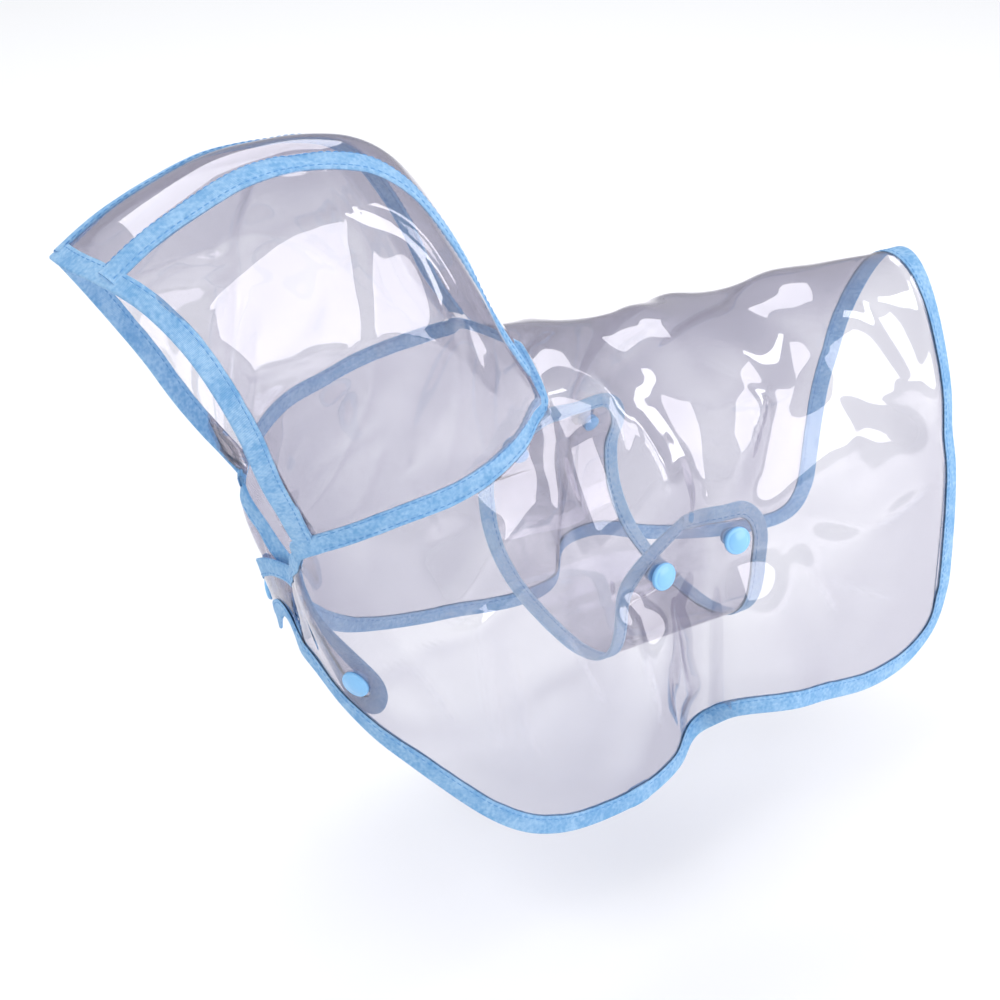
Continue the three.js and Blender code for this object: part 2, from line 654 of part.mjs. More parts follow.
// The belly strap as a grid of samples: rows from one rounded end, under the belly, to the other
function strapGrid() {
  const path = new THREE.CatmullRomCurve3(STRAP_PATH.map((row) => new THREE.Vector3(0, row.out, row.z)));
  const across = evenly(STRAP_COLUMNS, -1, 1);
  const base = STRAP_PATH[0];
  const halfRows = (side) => {
    const round = evenly(6, 0.26, 1).map((turn) => {
      const rise = STRAP_END_RISE * Math.cos((turn * Math.PI) / 2);
      const wide = STRAP_HALF_WIDTH * Math.sin((turn * Math.PI) / 2);
      return across.map((a) => flankPoint(side, STRAP_MIDDLE_X + STRAP_END_LEAN * rise + wide * a, base.z + rise));
    });
    const start = round[round.length - 1];
    const sling = evenly(9).slice(1).map((share) => {
      const place = path.getPointAt(share);
      const fade = 1 - THREE.MathUtils.smoothstep(share, 0.1, 0.5);
      return start.map((point) => {
        const out = place.y + (Math.abs(point.y) - base.out) * fade;
        return new THREE.Vector3(point.x, side * out, place.z);
      });
    });
    return [...round, ...sling];
  };
  const points = [...halfRows(LEFT), ...halfRows(RIGHT).reverse().slice(1)];
  const last = points.length - 1;
  return points.map((row, i) =>
    row.map((point, j) => {
      const along = points[Math.min(i + 1, last)][j].clone().sub(points[Math.max(i - 1, 0)][j]);
      const over = row[Math.min(j + 1, STRAP_COLUMNS)].clone().sub(row[Math.max(j - 1, 0)]);
      return { point, normal: along.cross(over).normalize(), margin: STRAP_TAPE_WIDTH + SEAM_GAP };
    }),
  );
}

function bellyStrap() {
  const grid = strapGrid();
  const last = grid.length - 1;
  const loop = [
    ...grid[0].slice(0, -1),
    ...grid.map((row) => row[STRAP_COLUMNS]).slice(0, -1),
    ...grid[last].slice(1).reverse(),
    ...grid.map((row) => row[0]).slice(1).reverse(),
  ];
  facingIn(loop, -1, loop[loop.length - 1], loop[0]);
  const film = grid.map((row, i) =>
    i === 0 || i === last ? row.map(movedIn) : betweenEdges(row, row[0], row[STRAP_COLUMNS]),
  );
  const tape = edgeTape([...loop, loop[0]], STRAP_TAPE_WIDTH);
  return { film: wallOf([film], FILM), tape };
}

// Snap discs stand on the film: a domed cap outside, the joined press parts between the two layers, and
// the small back cap inside
function disc(radius, height, dome) {
  const profile = [
    new THREE.Vector2(0, 0),
    new THREE.Vector2(radius * 0.94, 0),
    new THREE.Vector2(radius, height * 0.25),
    new THREE.Vector2(radius * 0.92, height * (1 - dome)),
    new THREE.Vector2(0, height),
  ];
  return new THREE.LatheGeometry(profile, SNAP_SIDES).rotateX(Math.PI / 2);
}

function snapPieces(side, snap) {
  const lift = Math.abs(layerAt(side, snap.section));
  const { point, normal } = capePoint(side, snap.section, snap.share, lift);
  const clear = FILM / 2 + SNAP_GAP;
  const place = (name, geometry, distance, outward) => {
    const piece = mesh(name, geometry, COLOURS.snap, 0.25);
    piece.position.copy(point).addScaledVector(normal, distance);
    const facing = normal.clone().multiplyScalar(outward);
    piece.quaternion.setFromUnitVectors(new THREE.Vector3(0, 0, 1), facing);
    return piece;
  };
  const label = `${side === LEFT ? 'left' : 'right'}_${snap.name}`;
  const pressHeight = snap.depth - 2 * clear;
  return [
    place(`snap_cap_${label}`, disc(SNAP_DIAMETER / 2, SNAP_CAP, 0.35), clear, 1),
    place(`snap_press_${label}`, disc(SNAP_PRESS_DIAMETER / 2, pressHeight, 0.2), -clear, -1),
    place(`snap_back_${label}`, disc(SNAP_PRESS_DIAMETER / 2, SNAP_BACK, 0.3), -snap.depth - clear, -1),
  ];
}

function mesh(name, geometry, colour, roughness, opacity = 1) {
  const material = new THREE.MeshStandardMaterial({
    color: colour,
    roughness,
    metalness: 0,
    opacity,
    transparent: opacity < 1,
  });
  const piece = new THREE.Mesh(geometry, material);
  piece.name = name;
  return piece;
}

const film = (name, geometry) => mesh(name, geometry, COLOURS.film, 0.08, 0.35);
const tape = (name, geometry) => mesh(name, geometry, COLOURS.tape, 0.8);

// Assembly
const halves = [capeHalf(LEFT), capeHalf(RIGHT)];
const hoodSides = halves.map(sideSurface);
const crown = crownSurface(halves);
const strap = bellyStrap();
const sideMargins = { face: HEM_MARGIN, high: CROWN_TAPE_OVER_SIDE + 2 * SEAM_GAP };
const stripMargin = CROWN_TAPE_OVER_STRIP + SEAM_GAP;
const stripMargins = { face: HEM_MARGIN, low: stripMargin, high: stripMargin };
const hemSamples = [
  ...halves[0].hem.slice(1),
  ...halves[1].hem.slice(1, -1).reverse(),
];

const coat = new THREE.Group();
coat.add(
  film('cape', capeFilm(halves)),
  tape('hem_tape', edgeTape(hemSamples, HEM_TAPE_WIDTH)),
  tape('neck_tape', neckTape(halves)),
  film('hood_side_left', hoodFilm(hoodSides[0], 14, HOOD_ROWS, sideMargins, (u, v) => u * v)),
  film('hood_side_right', hoodFilm(hoodSides[1], 14, HOOD_ROWS, sideMargins, (u, v) => u * v)),
  film('hood_crown', hoodFilm(crown, 22, 4, stripMargins, (u) => u)),
  tape('hood_face_tape', faceTape(hoodSides, crown)),
  tape('crown_tape_left', crownTape(hoodSides[0], crown, 0)),
  tape('crown_tape_right', crownTape(hoodSides[1], crown, 1)),
  film('belly_strap', strap.film),
  tape('belly_strap_tape', strap.tape),
  ...SNAPS.flatMap((snap) => [...snapPieces(LEFT, snap), ...snapPieces(RIGHT, snap)]),
);

export default coat;
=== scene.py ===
"""Clear film dog raincoat with a hood, in its worn shape.

The coat is built as a maker sews it: a cape cut in one piece, a hood of three panels, a belly strap, folded
binding on every edge and seam, and press snaps. Every surface is a formula over whole numpy arrays, in
millimetres: +X is toward the tail, -Y is the wearer's left and +Z is up. Meshes are made in metres.
"""

# %% Frame
import math

import bpy
import numpy as np
from mathutils import Matrix


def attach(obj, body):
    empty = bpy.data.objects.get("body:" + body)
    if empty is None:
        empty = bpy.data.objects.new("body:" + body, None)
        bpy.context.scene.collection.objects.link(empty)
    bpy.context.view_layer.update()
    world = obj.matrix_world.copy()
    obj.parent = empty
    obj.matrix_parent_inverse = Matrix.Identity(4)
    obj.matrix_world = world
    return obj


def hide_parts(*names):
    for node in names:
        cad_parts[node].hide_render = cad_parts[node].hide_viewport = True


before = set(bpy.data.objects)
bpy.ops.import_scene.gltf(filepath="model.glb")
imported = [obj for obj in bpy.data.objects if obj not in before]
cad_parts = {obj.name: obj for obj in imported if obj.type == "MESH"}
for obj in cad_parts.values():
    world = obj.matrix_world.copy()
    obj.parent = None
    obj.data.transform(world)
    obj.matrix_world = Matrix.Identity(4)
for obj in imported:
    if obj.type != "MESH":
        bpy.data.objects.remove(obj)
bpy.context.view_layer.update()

MM = 0.001


# %% [markdown]
# ## The cut
# A raincoat like this is cut flat and gets its shape from where its edges are held: the neck seam, the
# crossed arms on the chest, and the hem that the binding stiffens. So the form is given by a few sections,
# each a curve from the edge at its top to the hem, and everything between them is smooth. A mesh that was
# pushed by hand would lose the clean line of the hem, and a cloth simulation would lose the worn pose.

# %% Tables
LEFT, RIGHT = -1, 1


def table(columns, rows):
    """Named columns as arrays: table("x z", [[1, 2], [3, 4]])["x"] is array([1, 3])."""
    return dict(zip(columns.split(), np.array(rows, float).T))


# One row for each section of one half, from the middle of the chest to the tail. heading: direction that
# the section leaves in; leave: degrees below level at its top; flare: degrees outward at the hem.
SECTIONS = table("topX topOut topZ hemX hemOut hemZ heading leave flare", [
    [-124, -14, -60, -114, -12, -121, 192, 94, -6],
    [-118.5, 0, -73, -115.5, 0, -118, 180, 90, -4],
    [-124, 14, -60, -114, 12, -121, 168, 94, -6],
    [-128, 30, -44, -110.5, 30, -129, 150, 94, -8],
    [-113, 44, -34, -101, 49, -141, 132, 84, 0],
    [-95, 52, -27, -87, 65, -156, 115, 74, 6],
    [-74, 55, -23, -71, 78, -171, 102, 66, 8],
    [-56, 54, -18, -56, 84, -181, 95, 62, 9],
    [-38.5, 48, -12, -39, 86, -187, 92, 60, 9],
    [-23, 38, -5.5, -21, 85, -190, 90, 58, 8],
    [-5, 38, -12, -3, 82, -191, 90, 56, 7],
    [15, 38, -17, 17, 77, -191, 90, 54, 6],
    [32, 38, -20, 34, 72, -188, 90, 54, 5],
    [46, 38, -21, 46, 69, -180, 90, 54, 5],
    [58, 38, -21, 57, 78, -168, 90, 54, 8],
    [80, 38, -22, 79, 81, -169, 90, 54, 9],
    [105, 37, -23, 104, 78, -176, 90, 55, 8],
    [132, 36, -22, 133, 74, -183, 90, 56, 7],
    [158, 34, -24, 160, 67, -185, 90, 58, 5],
    [179, 32, -29, 181, 59, -181, 90, 61, 3],
    [190, 31, -34, 191, 55, -172, 90, 63, 2],
    [196, 30, -38, 196, 53, -156, 90, 65, 2],
])
THROAT, SHOULDER, TAIL = 2, 8, 20  # places along the sections

# Line of the back from the shoulder to the tail
RIDGE = table("x z", [
    [-14, 2], [-2, 1.5], [15, -1], [32, -3], [46, -3], [58, -2.5], [80, -6],
    [105, -8], [132, -4.5], [158, -6], [179, -6], [190, -5], [196, -4],
])

# Middle line of an arm past the middle of the chest
ARM = table("distance z half turn", [
    [0, 0, 0, 0],  # filled in from the middle of the chest
    [9, -91.3, 17.2, 12],
    [18, -92.5, 13.8, 24],
    [29, -101, 13.5, 36],
    [40, -114, 14.5, 42],
])
RIGHT_RISE = np.array([0.1, 0.11, 0.11, 0.08, 0.04, 0.01, 0])  # share by which the right half's hem is drawn up
LAYER = 1.7  # the crossed arms lie this far outside and inside of the chest line
LAYERS_MEET = THROAT + 4  # section from which both halves lie on one line
HANDLE = 0.36  # how far a section's ends pull on it, as a share of the distance between them

# Largest folds, which the solid has too
FOLDS = table("ax aOut az bx bOut bz height width", [
    [14, 64, -99, 70, 64, -95, -5.5, 28],
    [40, 66, -118, 48, 72, -182, -5, 14],
    [22, 66, -124, 4, 80, -178, 3.5, 14],
    [62, 66, -120, 86, 80, -166, 3, 15],
    [34, 58, -62, 6, 36, -12, 3, 11],
    [50, 56, -58, 44, 30, -10, -3, 11],
    [62, 56, -58, 80, 32, -12, 3, 11],
    [76, 58, -60, 116, 34, -14, -3, 12],
    [-4, 48, -24, 6, 66, -90, -3.5, 11],
    [-96, 48, -128, -34, 76, -112, 2.5, 12],
    [116, 40, -26, 186, 46, -76, -3, 12],
    [-76, 58, -40, -44, 78, -120, -3, 12],
])

# %% [markdown]
# ## Creases
# Clear film is stiff for its thickness: where a cloth would drape, it buckles into straight ridges with
# crisp crests that meet in points. Each crease here is a short line on the coat with a height and a width
# of its own, strongest in the middle and gone at its ends. They are placed one by one, because a noise
# texture would give them all the same length and depth.

# %% Crease tables
# Lines on the left side: x, out and z of both ends, height (troughs are negative), width, and how crisp
# the crest is, from 0, round, to 1, a knife edge.
CREASES = table("ax aOut az bx bOut bz height width crisp", [
    [13, 61, -82, 37, 64, -143, 2.6, 5, 0.8],
    [37, 64, -143, 48, 70, -178, 2.2, 5, 0.7],
    [-14, 51, -32, 2, 66, -98, -2.4, 6, 0.5],
    [2, 66, -98, 8, 74, -132, 1.6, 5, 0.6],
    [-112, 40, -112, -96, 61, -86, 1.8, 6, 0.2],
    [-96, 61, -86, -52, 72, -70, 2.2, 6, 0.5],
    [-25, 42, -11, -34, 73, -92, 2.6, 5, 0.9],
    [-17, 43, -16, -9, 63, -72, -1.8, 5, 0.6],
    [48, 12, -4, 67, 57, -51, 3.0, 5, 0.9],
    [67, 57, -51, 87, 42, -26, 2.8, 5, 0.9],
    [2, 28, -3, 11, 51, -34, 2.6, 4, 0.9],
    [11, 51, -34, 17, 41, -17, -2.2, 4, 0.8],
    [17, 41, -17, 27, 60, -58, 2.8, 5, 0.9],
    [-46, 58, -30, -88, 66, -74, 2.2, 6, 0.5],
    [-52, 69, -62, -86, 67, -76, -1.6, 4, 0.7],
    [50, 10, -4, 57, 52, -43, -2.4, 4, 0.8],
    [58, 10, -4, 76, 50, -40, -2.2, 4, 0.8],
    [87, 2, -7, 101, 50, -47, 2.4, 6, 0.6],
    [115, 4, -6, 123, 59, -69, 2.2, 7, 0.5],
    [123, 40, -33, 159, 46, -51, 1.8, 4, 0.8],
    [152, 21, -10, 168, 41, -40, -1.8, 6, 0.5],
    [94, 63, -84, 133, 66, -105, -1.8, 7, 0.5],
    [133, 66, -105, 176, 56, -98, 1.8, 6, 0.6],
    [88, 67, -100, 112, 74, -142, 1.8, 7, 0.5],
    [21, 65, -105, 44, 64, -150, -2.0, 4, 0.8],
    [-35, 75, -94, -14, 78, -140, 1.8, 6, 0.7],
    [-74, 70, -73, -70, 76, -140, 1.8, 6, 0.7],
    [-62, 73, -92, -52, 80, -150, -1.5, 5, 0.6],
    [-108, 46, -60, -84, 66, -128, 1.4, 6, 0.6],
    [-4, 10, 1, 18, 49, -28, 2.2, 5, 0.7],
    [24, 8, -2, 40, 48, -36, -2.0, 5, 0.7],
    [105, 5, -8, 137, 35, -22, 1.6, 6, 0.6],
    [61, 29, -12, 96, 46, -34, -1.5, 5, 0.7],
    [150, 52, -66, 186, 46, -120, 1.4, 6, 0.5],
    [104, 72, -120, 150, 68, -150, -1.4, 7, 0.4],
    [3, 71, -100, 6, 73, -117, 1.4, 3, 0.9],
    [6, 73, -117, 15, 75, -163, 1.7, 3, 0.9],
    [23, 71, -136, 39, 70, -184, -1.6, 3, 0.9],
    [30, 70, -112, 44, 68, -172, 1.5, 3, 0.9],
])

# %% [markdown]
# ## Smooth values, curves and the cape's form
# The same formulas as a maker's grading table: rows are measured at a few places and read off smoothly in
# between. A cubic through the rows (Catmull-Rom) keeps each measured value, which a fitted spline doesn't.

# %% Curves


def through(values, place):
    """Catmull-Rom value at a place counted in rows.

    h(w) = b + w (m0 + w (3r - 2 m0 - m1 + w (m0 + m1 - 2r))), with slopes m0 and m1 and r = c - b.
    """
    values = np.asarray(values, float)
    place = np.asarray(place, float)
    last = len(values) - 1
    i = np.clip(np.floor(place).astype(int), 0, last - 1)
    w = place - i
    b, c = values[i], values[i + 1]
    a = np.where(i > 0, values[np.maximum(i - 1, 0)], 2 * b - c)
    d = np.where(i + 1 < last, values[np.minimum(i + 2, last)], 2 * c - b)
    m0, m1, r = (c - a) / 2, (d - b) / 2, c - b
    return b + w * (m0 + w * (3 * r - 2 * m0 - m1 + w * (m0 + m1 - 2 * r)))


def smooth(low, high, value):
    """0 below low, 1 above high, 3t^2 - 2t^3 between."""
    t = np.clip((value - low) / (high - low), 0, 1)
    return t * t * (3 - 2 * t)


def unit(vectors):
    """Vectors of length 1 along the last axis."""
    return vectors / np.maximum(np.linalg.norm(vectors, axis=-1, keepdims=True), 1e-12)


def points_of(*columns):
    """Separate x, y, z arrays as one array of points."""
    return np.stack(np.broadcast_arrays(*[np.asarray(column, float) for column in columns]), axis=-1)


def run_of(points):
    """Distance travelled along a line of points, from 0 at the first."""
    return np.r_[0, np.cumsum(np.linalg.norm(np.diff(points, axis=0), axis=1))]


def read_at(places, travelled, values):
    """Columns of values that are given along a line, read at places along it."""
    return np.stack([np.interp(places, travelled, values[:, k]) for k in range(3)], axis=-1)


class Curve:
    """Centripetal Catmull-Rom curve through points, read at shares of its length.

    In a span the tangents are t1 = (p1 - p0)/d0 - (p2 - p0)/(d0 + d1) + (p2 - p1)/d1 and its mirror, with
    d = |step|^(1/2), so tight corners don't loop.
    """

    def __init__(self, points, steps=40):
        p = np.asarray(points, float)
        p = np.vstack([2 * p[0] - p[1], p, 2 * p[-1] - p[-2]])
        d = np.maximum(np.sum(np.diff(p, axis=0) ** 2, axis=1) ** 0.25, 1e-4)[:, None]
        p0, p1, p2, p3 = p[:-3], p[1:-2], p[2:-1], p[3:]
        d0, d1, d2 = d[:-2], d[1:-1], d[2:]
        t1 = ((p1 - p0) / d0 - (p2 - p0) / (d0 + d1) + (p2 - p1) / d1) * d1
        t2 = ((p2 - p1) / d1 - (p3 - p1) / (d1 + d2) + (p3 - p2) / d2) * d1
        w = np.linspace(0, 1, steps, endpoint=False)[None, :, None]
        square, cube = -3 * p1 + 3 * p2 - 2 * t1 - t2, 2 * p1 - 2 * p2 + t1 + t2
        line = p1[:, None] + w * (t1[:, None] + w * (square[:, None] + w * cube[:, None]))
        self.line = np.vstack([line.reshape(-1, 3), p2[-1:]])
        self.share = run_of(self.line) / run_of(self.line)[-1]

    def at(self, share):
        """Points at shares of the length."""
        return read_at(share, self.share, self.line)


# %% The cape's form


def cut_point(section, share):
    """Point (x, out, z) of the cape without folds.

    Below the top line a section is a cubic Bezier P(s) = (1-s)^3 A + 3 s (1-s)^2 B + 3 s^2 (1-s) C + s^3 D;
    share runs from 0 at the top to 1 at the hem. Above the shoulder it is a quadratic one, and share runs
    from 0 to -1 at the ridge. A negative section is the same point of the other half.
    """
    section, share = np.broadcast_arrays(np.asarray(section, float), np.asarray(share, float))
    place = np.abs(section)
    row = {name: through(values, place + 1) for name, values in SECTIONS.items()}
    heading, leave, flare = (np.radians(row[name]) for name in ("heading", "leave", "flare"))
    level = points_of(np.cos(heading), np.sin(heading), 0)
    up = np.array([0.0, 0.0, 1.0])
    falling = level * np.cos(leave)[..., None] - up * np.sin(leave)[..., None]
    rising = up * np.cos(flare)[..., None] - level * np.sin(flare)[..., None]
    top = points_of(row["topX"], row["topOut"], row["topZ"])
    hem = points_of(row["hemX"], row["hemOut"], row["hemZ"])
    reach = HANDLE * np.linalg.norm(hem - top, axis=-1, keepdims=True)
    s = np.clip(share, 0, 1)[..., None]
    below = (1 - s) ** 3 * top + 3 * s * (1 - s) ** 2 * (top + falling * reach)
    below += 3 * s * s * (1 - s) * (hem + rising * reach) + s ** 3 * hem
    back = np.maximum(place - SHOULDER, 0)
    ridge = points_of(through(RIDGE["x"], back), 0, through(RIDGE["z"], back))
    bend = top - falling * ((ridge[..., 2:] - top[..., 2:]) / np.sin(leave)[..., None])
    t = np.clip(-share, 0, 1)[..., None]
    above = (1 - t) ** 2 * top + 2 * t * (1 - t) * bend + t * t * ridge
    point = np.where(share[..., None] < 0, above, below)
    point[..., 1] *= np.where(section < 0, -1, 1)
    return point


def near_line(points, start, end):
    """Distance of points from the segment start-end, and the share of it nearest to them."""
    along = end - start
    share = np.clip(((points - start) @ along) / (along @ along), 0, 1)
    return np.linalg.norm(points - start - share[..., None] * along, axis=-1), share


# %% Folds and creases


def lines_of(rows):
    """Start, end and further values of each line in a table."""
    for ax, a_out, az, bx, b_out, bz, *values in zip(*rows.values()):
        yield np.array([ax, a_out, az]), np.array([bx, b_out, bz]), values


# The right side has folds and creases of the same kind, a little lower and further toward the tail
FAR_FOLD_SHARE, FAR_FOLD_SHIFT = 0.85, 3.0
FAR_CREASE_SHIFT = {LEFT: np.zeros(3), RIGHT: np.array([7.0, 0, -4])}
HIGHLIGHT_WIDTH, HIGHLIGHT_FULL = 1.3, 2.2  # mm from a crest that get the painted highlight, and the height that gives it fully


def fold_height(side, points):
    """Height of the largest folds, sum of h exp(-(d/w)^2)."""
    height = np.zeros(points.shape[:-1])
    lower = np.where(side == RIGHT, FAR_FOLD_SHARE, 1.0)
    shifted = points - points_of(np.where(side == RIGHT, FAR_FOLD_SHIFT, 0.0), 0, 0)
    for start, end, (rise, width) in lines_of(FOLDS):
        d, _ = near_line(shifted, start, end)
        height += lower * rise * np.exp(-((d / width) ** 2))
    return height


def on_halves(side, points, measure):
    """measure(side, points) where side, LEFT or RIGHT, is given for each point."""
    values = np.zeros(points.shape[:-1])
    for each in (LEFT, RIGHT):
        values[side == each] = measure(each, points[side == each] - FAR_CREASE_SHIFT[each])
    return values


def crease_height(side, points):
    """Height of the creases: h (1 + 3 sin(pi t)^0.7) / 4 [c exp(-d/w) + (1 - c) exp(-(d/w)^2)] for each line.

    The right side's creases have another order of depth.
    """
    height = np.zeros(len(points))
    for k, (start, end, (rise, width, crisp)) in enumerate(lines_of(CREASES)):
        d, t = near_line(points, start, end)
        depth = rise * (1 if side == LEFT else 0.6 + 0.35 * math.sin(2.4 * k))
        profile = crisp * np.exp(-d / width) + (1 - crisp) * np.exp(-((d / width) ** 2))
        height += depth * (0.25 + 0.75 * np.sin(np.pi * np.clip(t, 0.02, 0.98)) ** 0.7) * profile
    return height


def painted_crease_highlight(side, points):
    """Painted highlight along the creases' crests, as a share: the largest c exp(-(d/1.3)^2) sin(pi t)^0.5."""
    highlight = np.zeros(len(points))
    for start, end, (rise, _, crisp) in lines_of(CREASES):
        d, t = near_line(points, start, end)
        most = crisp * min(abs(rise) / HIGHLIGHT_FULL, 1)
        highlight = np.maximum(highlight, most * np.exp(-((d / HIGHLIGHT_WIDTH) ** 2)) * np.sin(np.pi * t) ** 0.5)
    return highlight


def ripple(points):
    """Slow unevenness of the film: sines of 20 to 70 mm that don't repeat together."""
    x, y, z = (points[..., k] for k in range(3))
    height = 0.55 * np.sin(x / 14.3 + 0.6 * np.sin(z / 21)) * np.sin(z / 18.7 + y / 29)
    return height + 0.3 * np.sin(x / 9.1 - z / 12.9 + 1.3) * np.sin(x / 27 + 0.4)


# %% Points of the cape


def cape_point(side, section, share, lift=0.0, creased=0.0):
    """Point of the folded cape, with its outward normal or, where it is creased, its painted highlight.

    creased is the share of the creases that it has.
    """
    section, share = np.broadcast_arrays(np.asarray(section, float), np.asarray(share, float))
    half = np.where(section < 0, -side, side)
    place = np.abs(section)
    step = 0.02
    lowest = np.where(place < SHOULDER - step, 0.0, -1.0)
    along = cut_point(np.minimum(place + step, TAIL), share) - cut_point(place - step, share)
    down = cut_point(place, np.minimum(share + step, 1)) - cut_point(place, np.maximum(share - step, lowest))
    normal = unit(np.cross(along, down))
    cut = cut_point(place, share)
    height = fold_height(half, cut) + lift
    flip = points_of(1, half, 1)
    second = normal * flip
    if np.any(creased):
        height = height + creased * (on_halves(half, cut, crease_height) + ripple(cut * flip))
        # Painted highlight along the creases' crests
        second = on_halves(half, cut, painted_crease_highlight) * creased
    return (cut + normal * np.asarray(height)[..., None]) * flip, second


def layer_at(side, section):
    """The crossed arms part from each other on the chest, the left one outside."""
    return -side * LAYER * (1 - smooth(THROAT, LAYERS_MEET, np.asarray(section, float)))


def hem_share(side, section):
    """The right half's front is drawn up under the left half's."""
    lost = through(RIGHT_RISE, np.minimum(section, len(RIGHT_RISE) - 1))
    return 1 - lost if side == RIGHT else np.ones_like(lost)


def solve(low, high, rising, value):
    """Where a rising function passes a value, by halving the interval for all values at once."""
    value = np.asarray(value, float)
    low, high = np.full(value.shape, float(low)), np.full(value.shape, float(high))
    for _ in range(20):
        middle = (low + high) / 2
        before = rising(middle) < value
        low, high = np.where(before, middle, low), np.where(before, high, middle)
    return (low + high) / 2


# %% Arms
HEM_WIDTH, NECK_HALF = 8.5, 4.5  # width of the hem's binding, and half of the neck tape's
GAP = 0.5  # from a tape's edge to where the panel's own grid starts
MARGIN = HEM_WIDTH + GAP
NECK_COVERED = 3.4  # the cape's film starts this far from the seam, under the tape
TIP_ANGLES = [6, 16, 26, 36, 46, 55, 64, 72, 81]
ARM_STEPS = 22
ROWS_BELOW, ROWS_ABOVE = 78, 16  # rows from a section's top to the hem, and to the ridge
FRONT, FLANK, BACK, RUMP = 12, 45, 90, 14  # columns to the throat, to the shoulder, along the back, at the tail
RUMP_START = TAIL - 2
NECK_FOOT = ROWS_ABOVE // 2  # the crown seam meets the neck halfway from the shoulder to the nape
SECTION_STEP = 12  # about the distance between two sections, mm
ARM_CREASED = 0.3  # share of the creases that the arms have

ARM_SECTIONS = np.arange(5)
CHEST_DISTANCES = run_of(cut_point(ARM_SECTIONS, 0.5))


def arm_grid(side, inset, creased=0.0):
    """Columns of an arm from its rounded tip to the middle of the chest, square to its middle line.

    At a column the arm is half - inset wide on each side; round the tip it is (half - inset) sin(angle)
    wide and (half - inset) cos(angle) ahead.
    """
    hem = cut_point(0.0, hem_share(side, np.array(0.0)))[2]
    top = SECTIONS["topZ"][1]
    line = {name: values.copy() for name, values in ARM.items()}
    line["z"][0], line["half"][0] = (top + hem) / 2, (top - hem) / 2
    last = len(line["z"]) - 1
    place = np.r_[np.full(len(TIP_ANGLES), last), np.linspace(last, 0, ARM_STEPS + 1)[:-1]]
    angle = np.radians(np.r_[TIP_ANGLES, np.full(ARM_STEPS, 90)])
    row = {name: through(values, place)[:, None] for name, values in line.items()}
    turn, half = np.radians(row["turn"]), row["half"] - inset
    ahead = half * np.cos(angle)[:, None]
    across = half * np.sin(angle)[:, None] * np.linspace(1, -1, ROWS_BELOW + 1)[None, :]
    distance = row["distance"] + ahead * np.cos(turn) + across * np.sin(turn)
    z = row["z"] - ahead * np.sin(turn) + across * np.cos(turn)
    past = solve(0, 4, lambda s: through(CHEST_DISTANCES, s), distance)
    share = solve(0, 1, lambda s: -cut_point(past, s)[..., 2], -z)
    return cape_point(side, -past, share, layer_at(side, 0), creased)


# %% [markdown]
# ## Edges
# Everything that is sewn to a panel follows the panel's own edge: a sample of an edge has a point, the
# film's outward normal, and a direction that lies in the film, square to the edge. The binding, its
# stitches and the strip of film inside the binding are all measured along these, so they can't part.

# %% Edges


def facing_in(points, normals, turn, before, after):
    """Unit vectors in the surface, square to an edge: turn normal x tangent. It goes on at before and after."""
    line = np.vstack([before, points, after])
    return unit(turn * np.cross(normals, line[2:] - line[:-2]))


def creases_kept(section, share):
    """Share of the creases: none in the binding, all of them 22 mm away from it."""
    section = section[:, None]
    length = np.linalg.norm(cut_point(section, 1.0) - cut_point(section, 0.0), axis=-1)
    edge = np.minimum(np.where(section < SHOULDER, share * length, 99), (1 - share) * length)
    edge = np.minimum(edge, SECTION_STEP * (TAIL - section))
    return smooth(MARGIN - 2, MARGIN + 13, edge) * (ARM_CREASED + (1 - ARM_CREASED) * smooth(0, 3, section))


def neck_of(chest, back):
    """Edge of a half along the neck, from the nape to the throat."""
    return np.vstack([back[0, :ROWS_ABOVE], chest[FRONT:, 0][::-1]])


def hem_parts(chest, arm, back):
    """Edge of a half from the throat: chest, arm's upper side, tip and lower side, hem, and up to the ridge."""
    return [
        chest[:FRONT, 0][::-1], arm[:, 0][::-1], arm[0, 1:-1], arm[:, -1],
        chest[:, -1], back[1:, -1], back[-1, :-1][::-1],
    ]


# %% One half of the cape


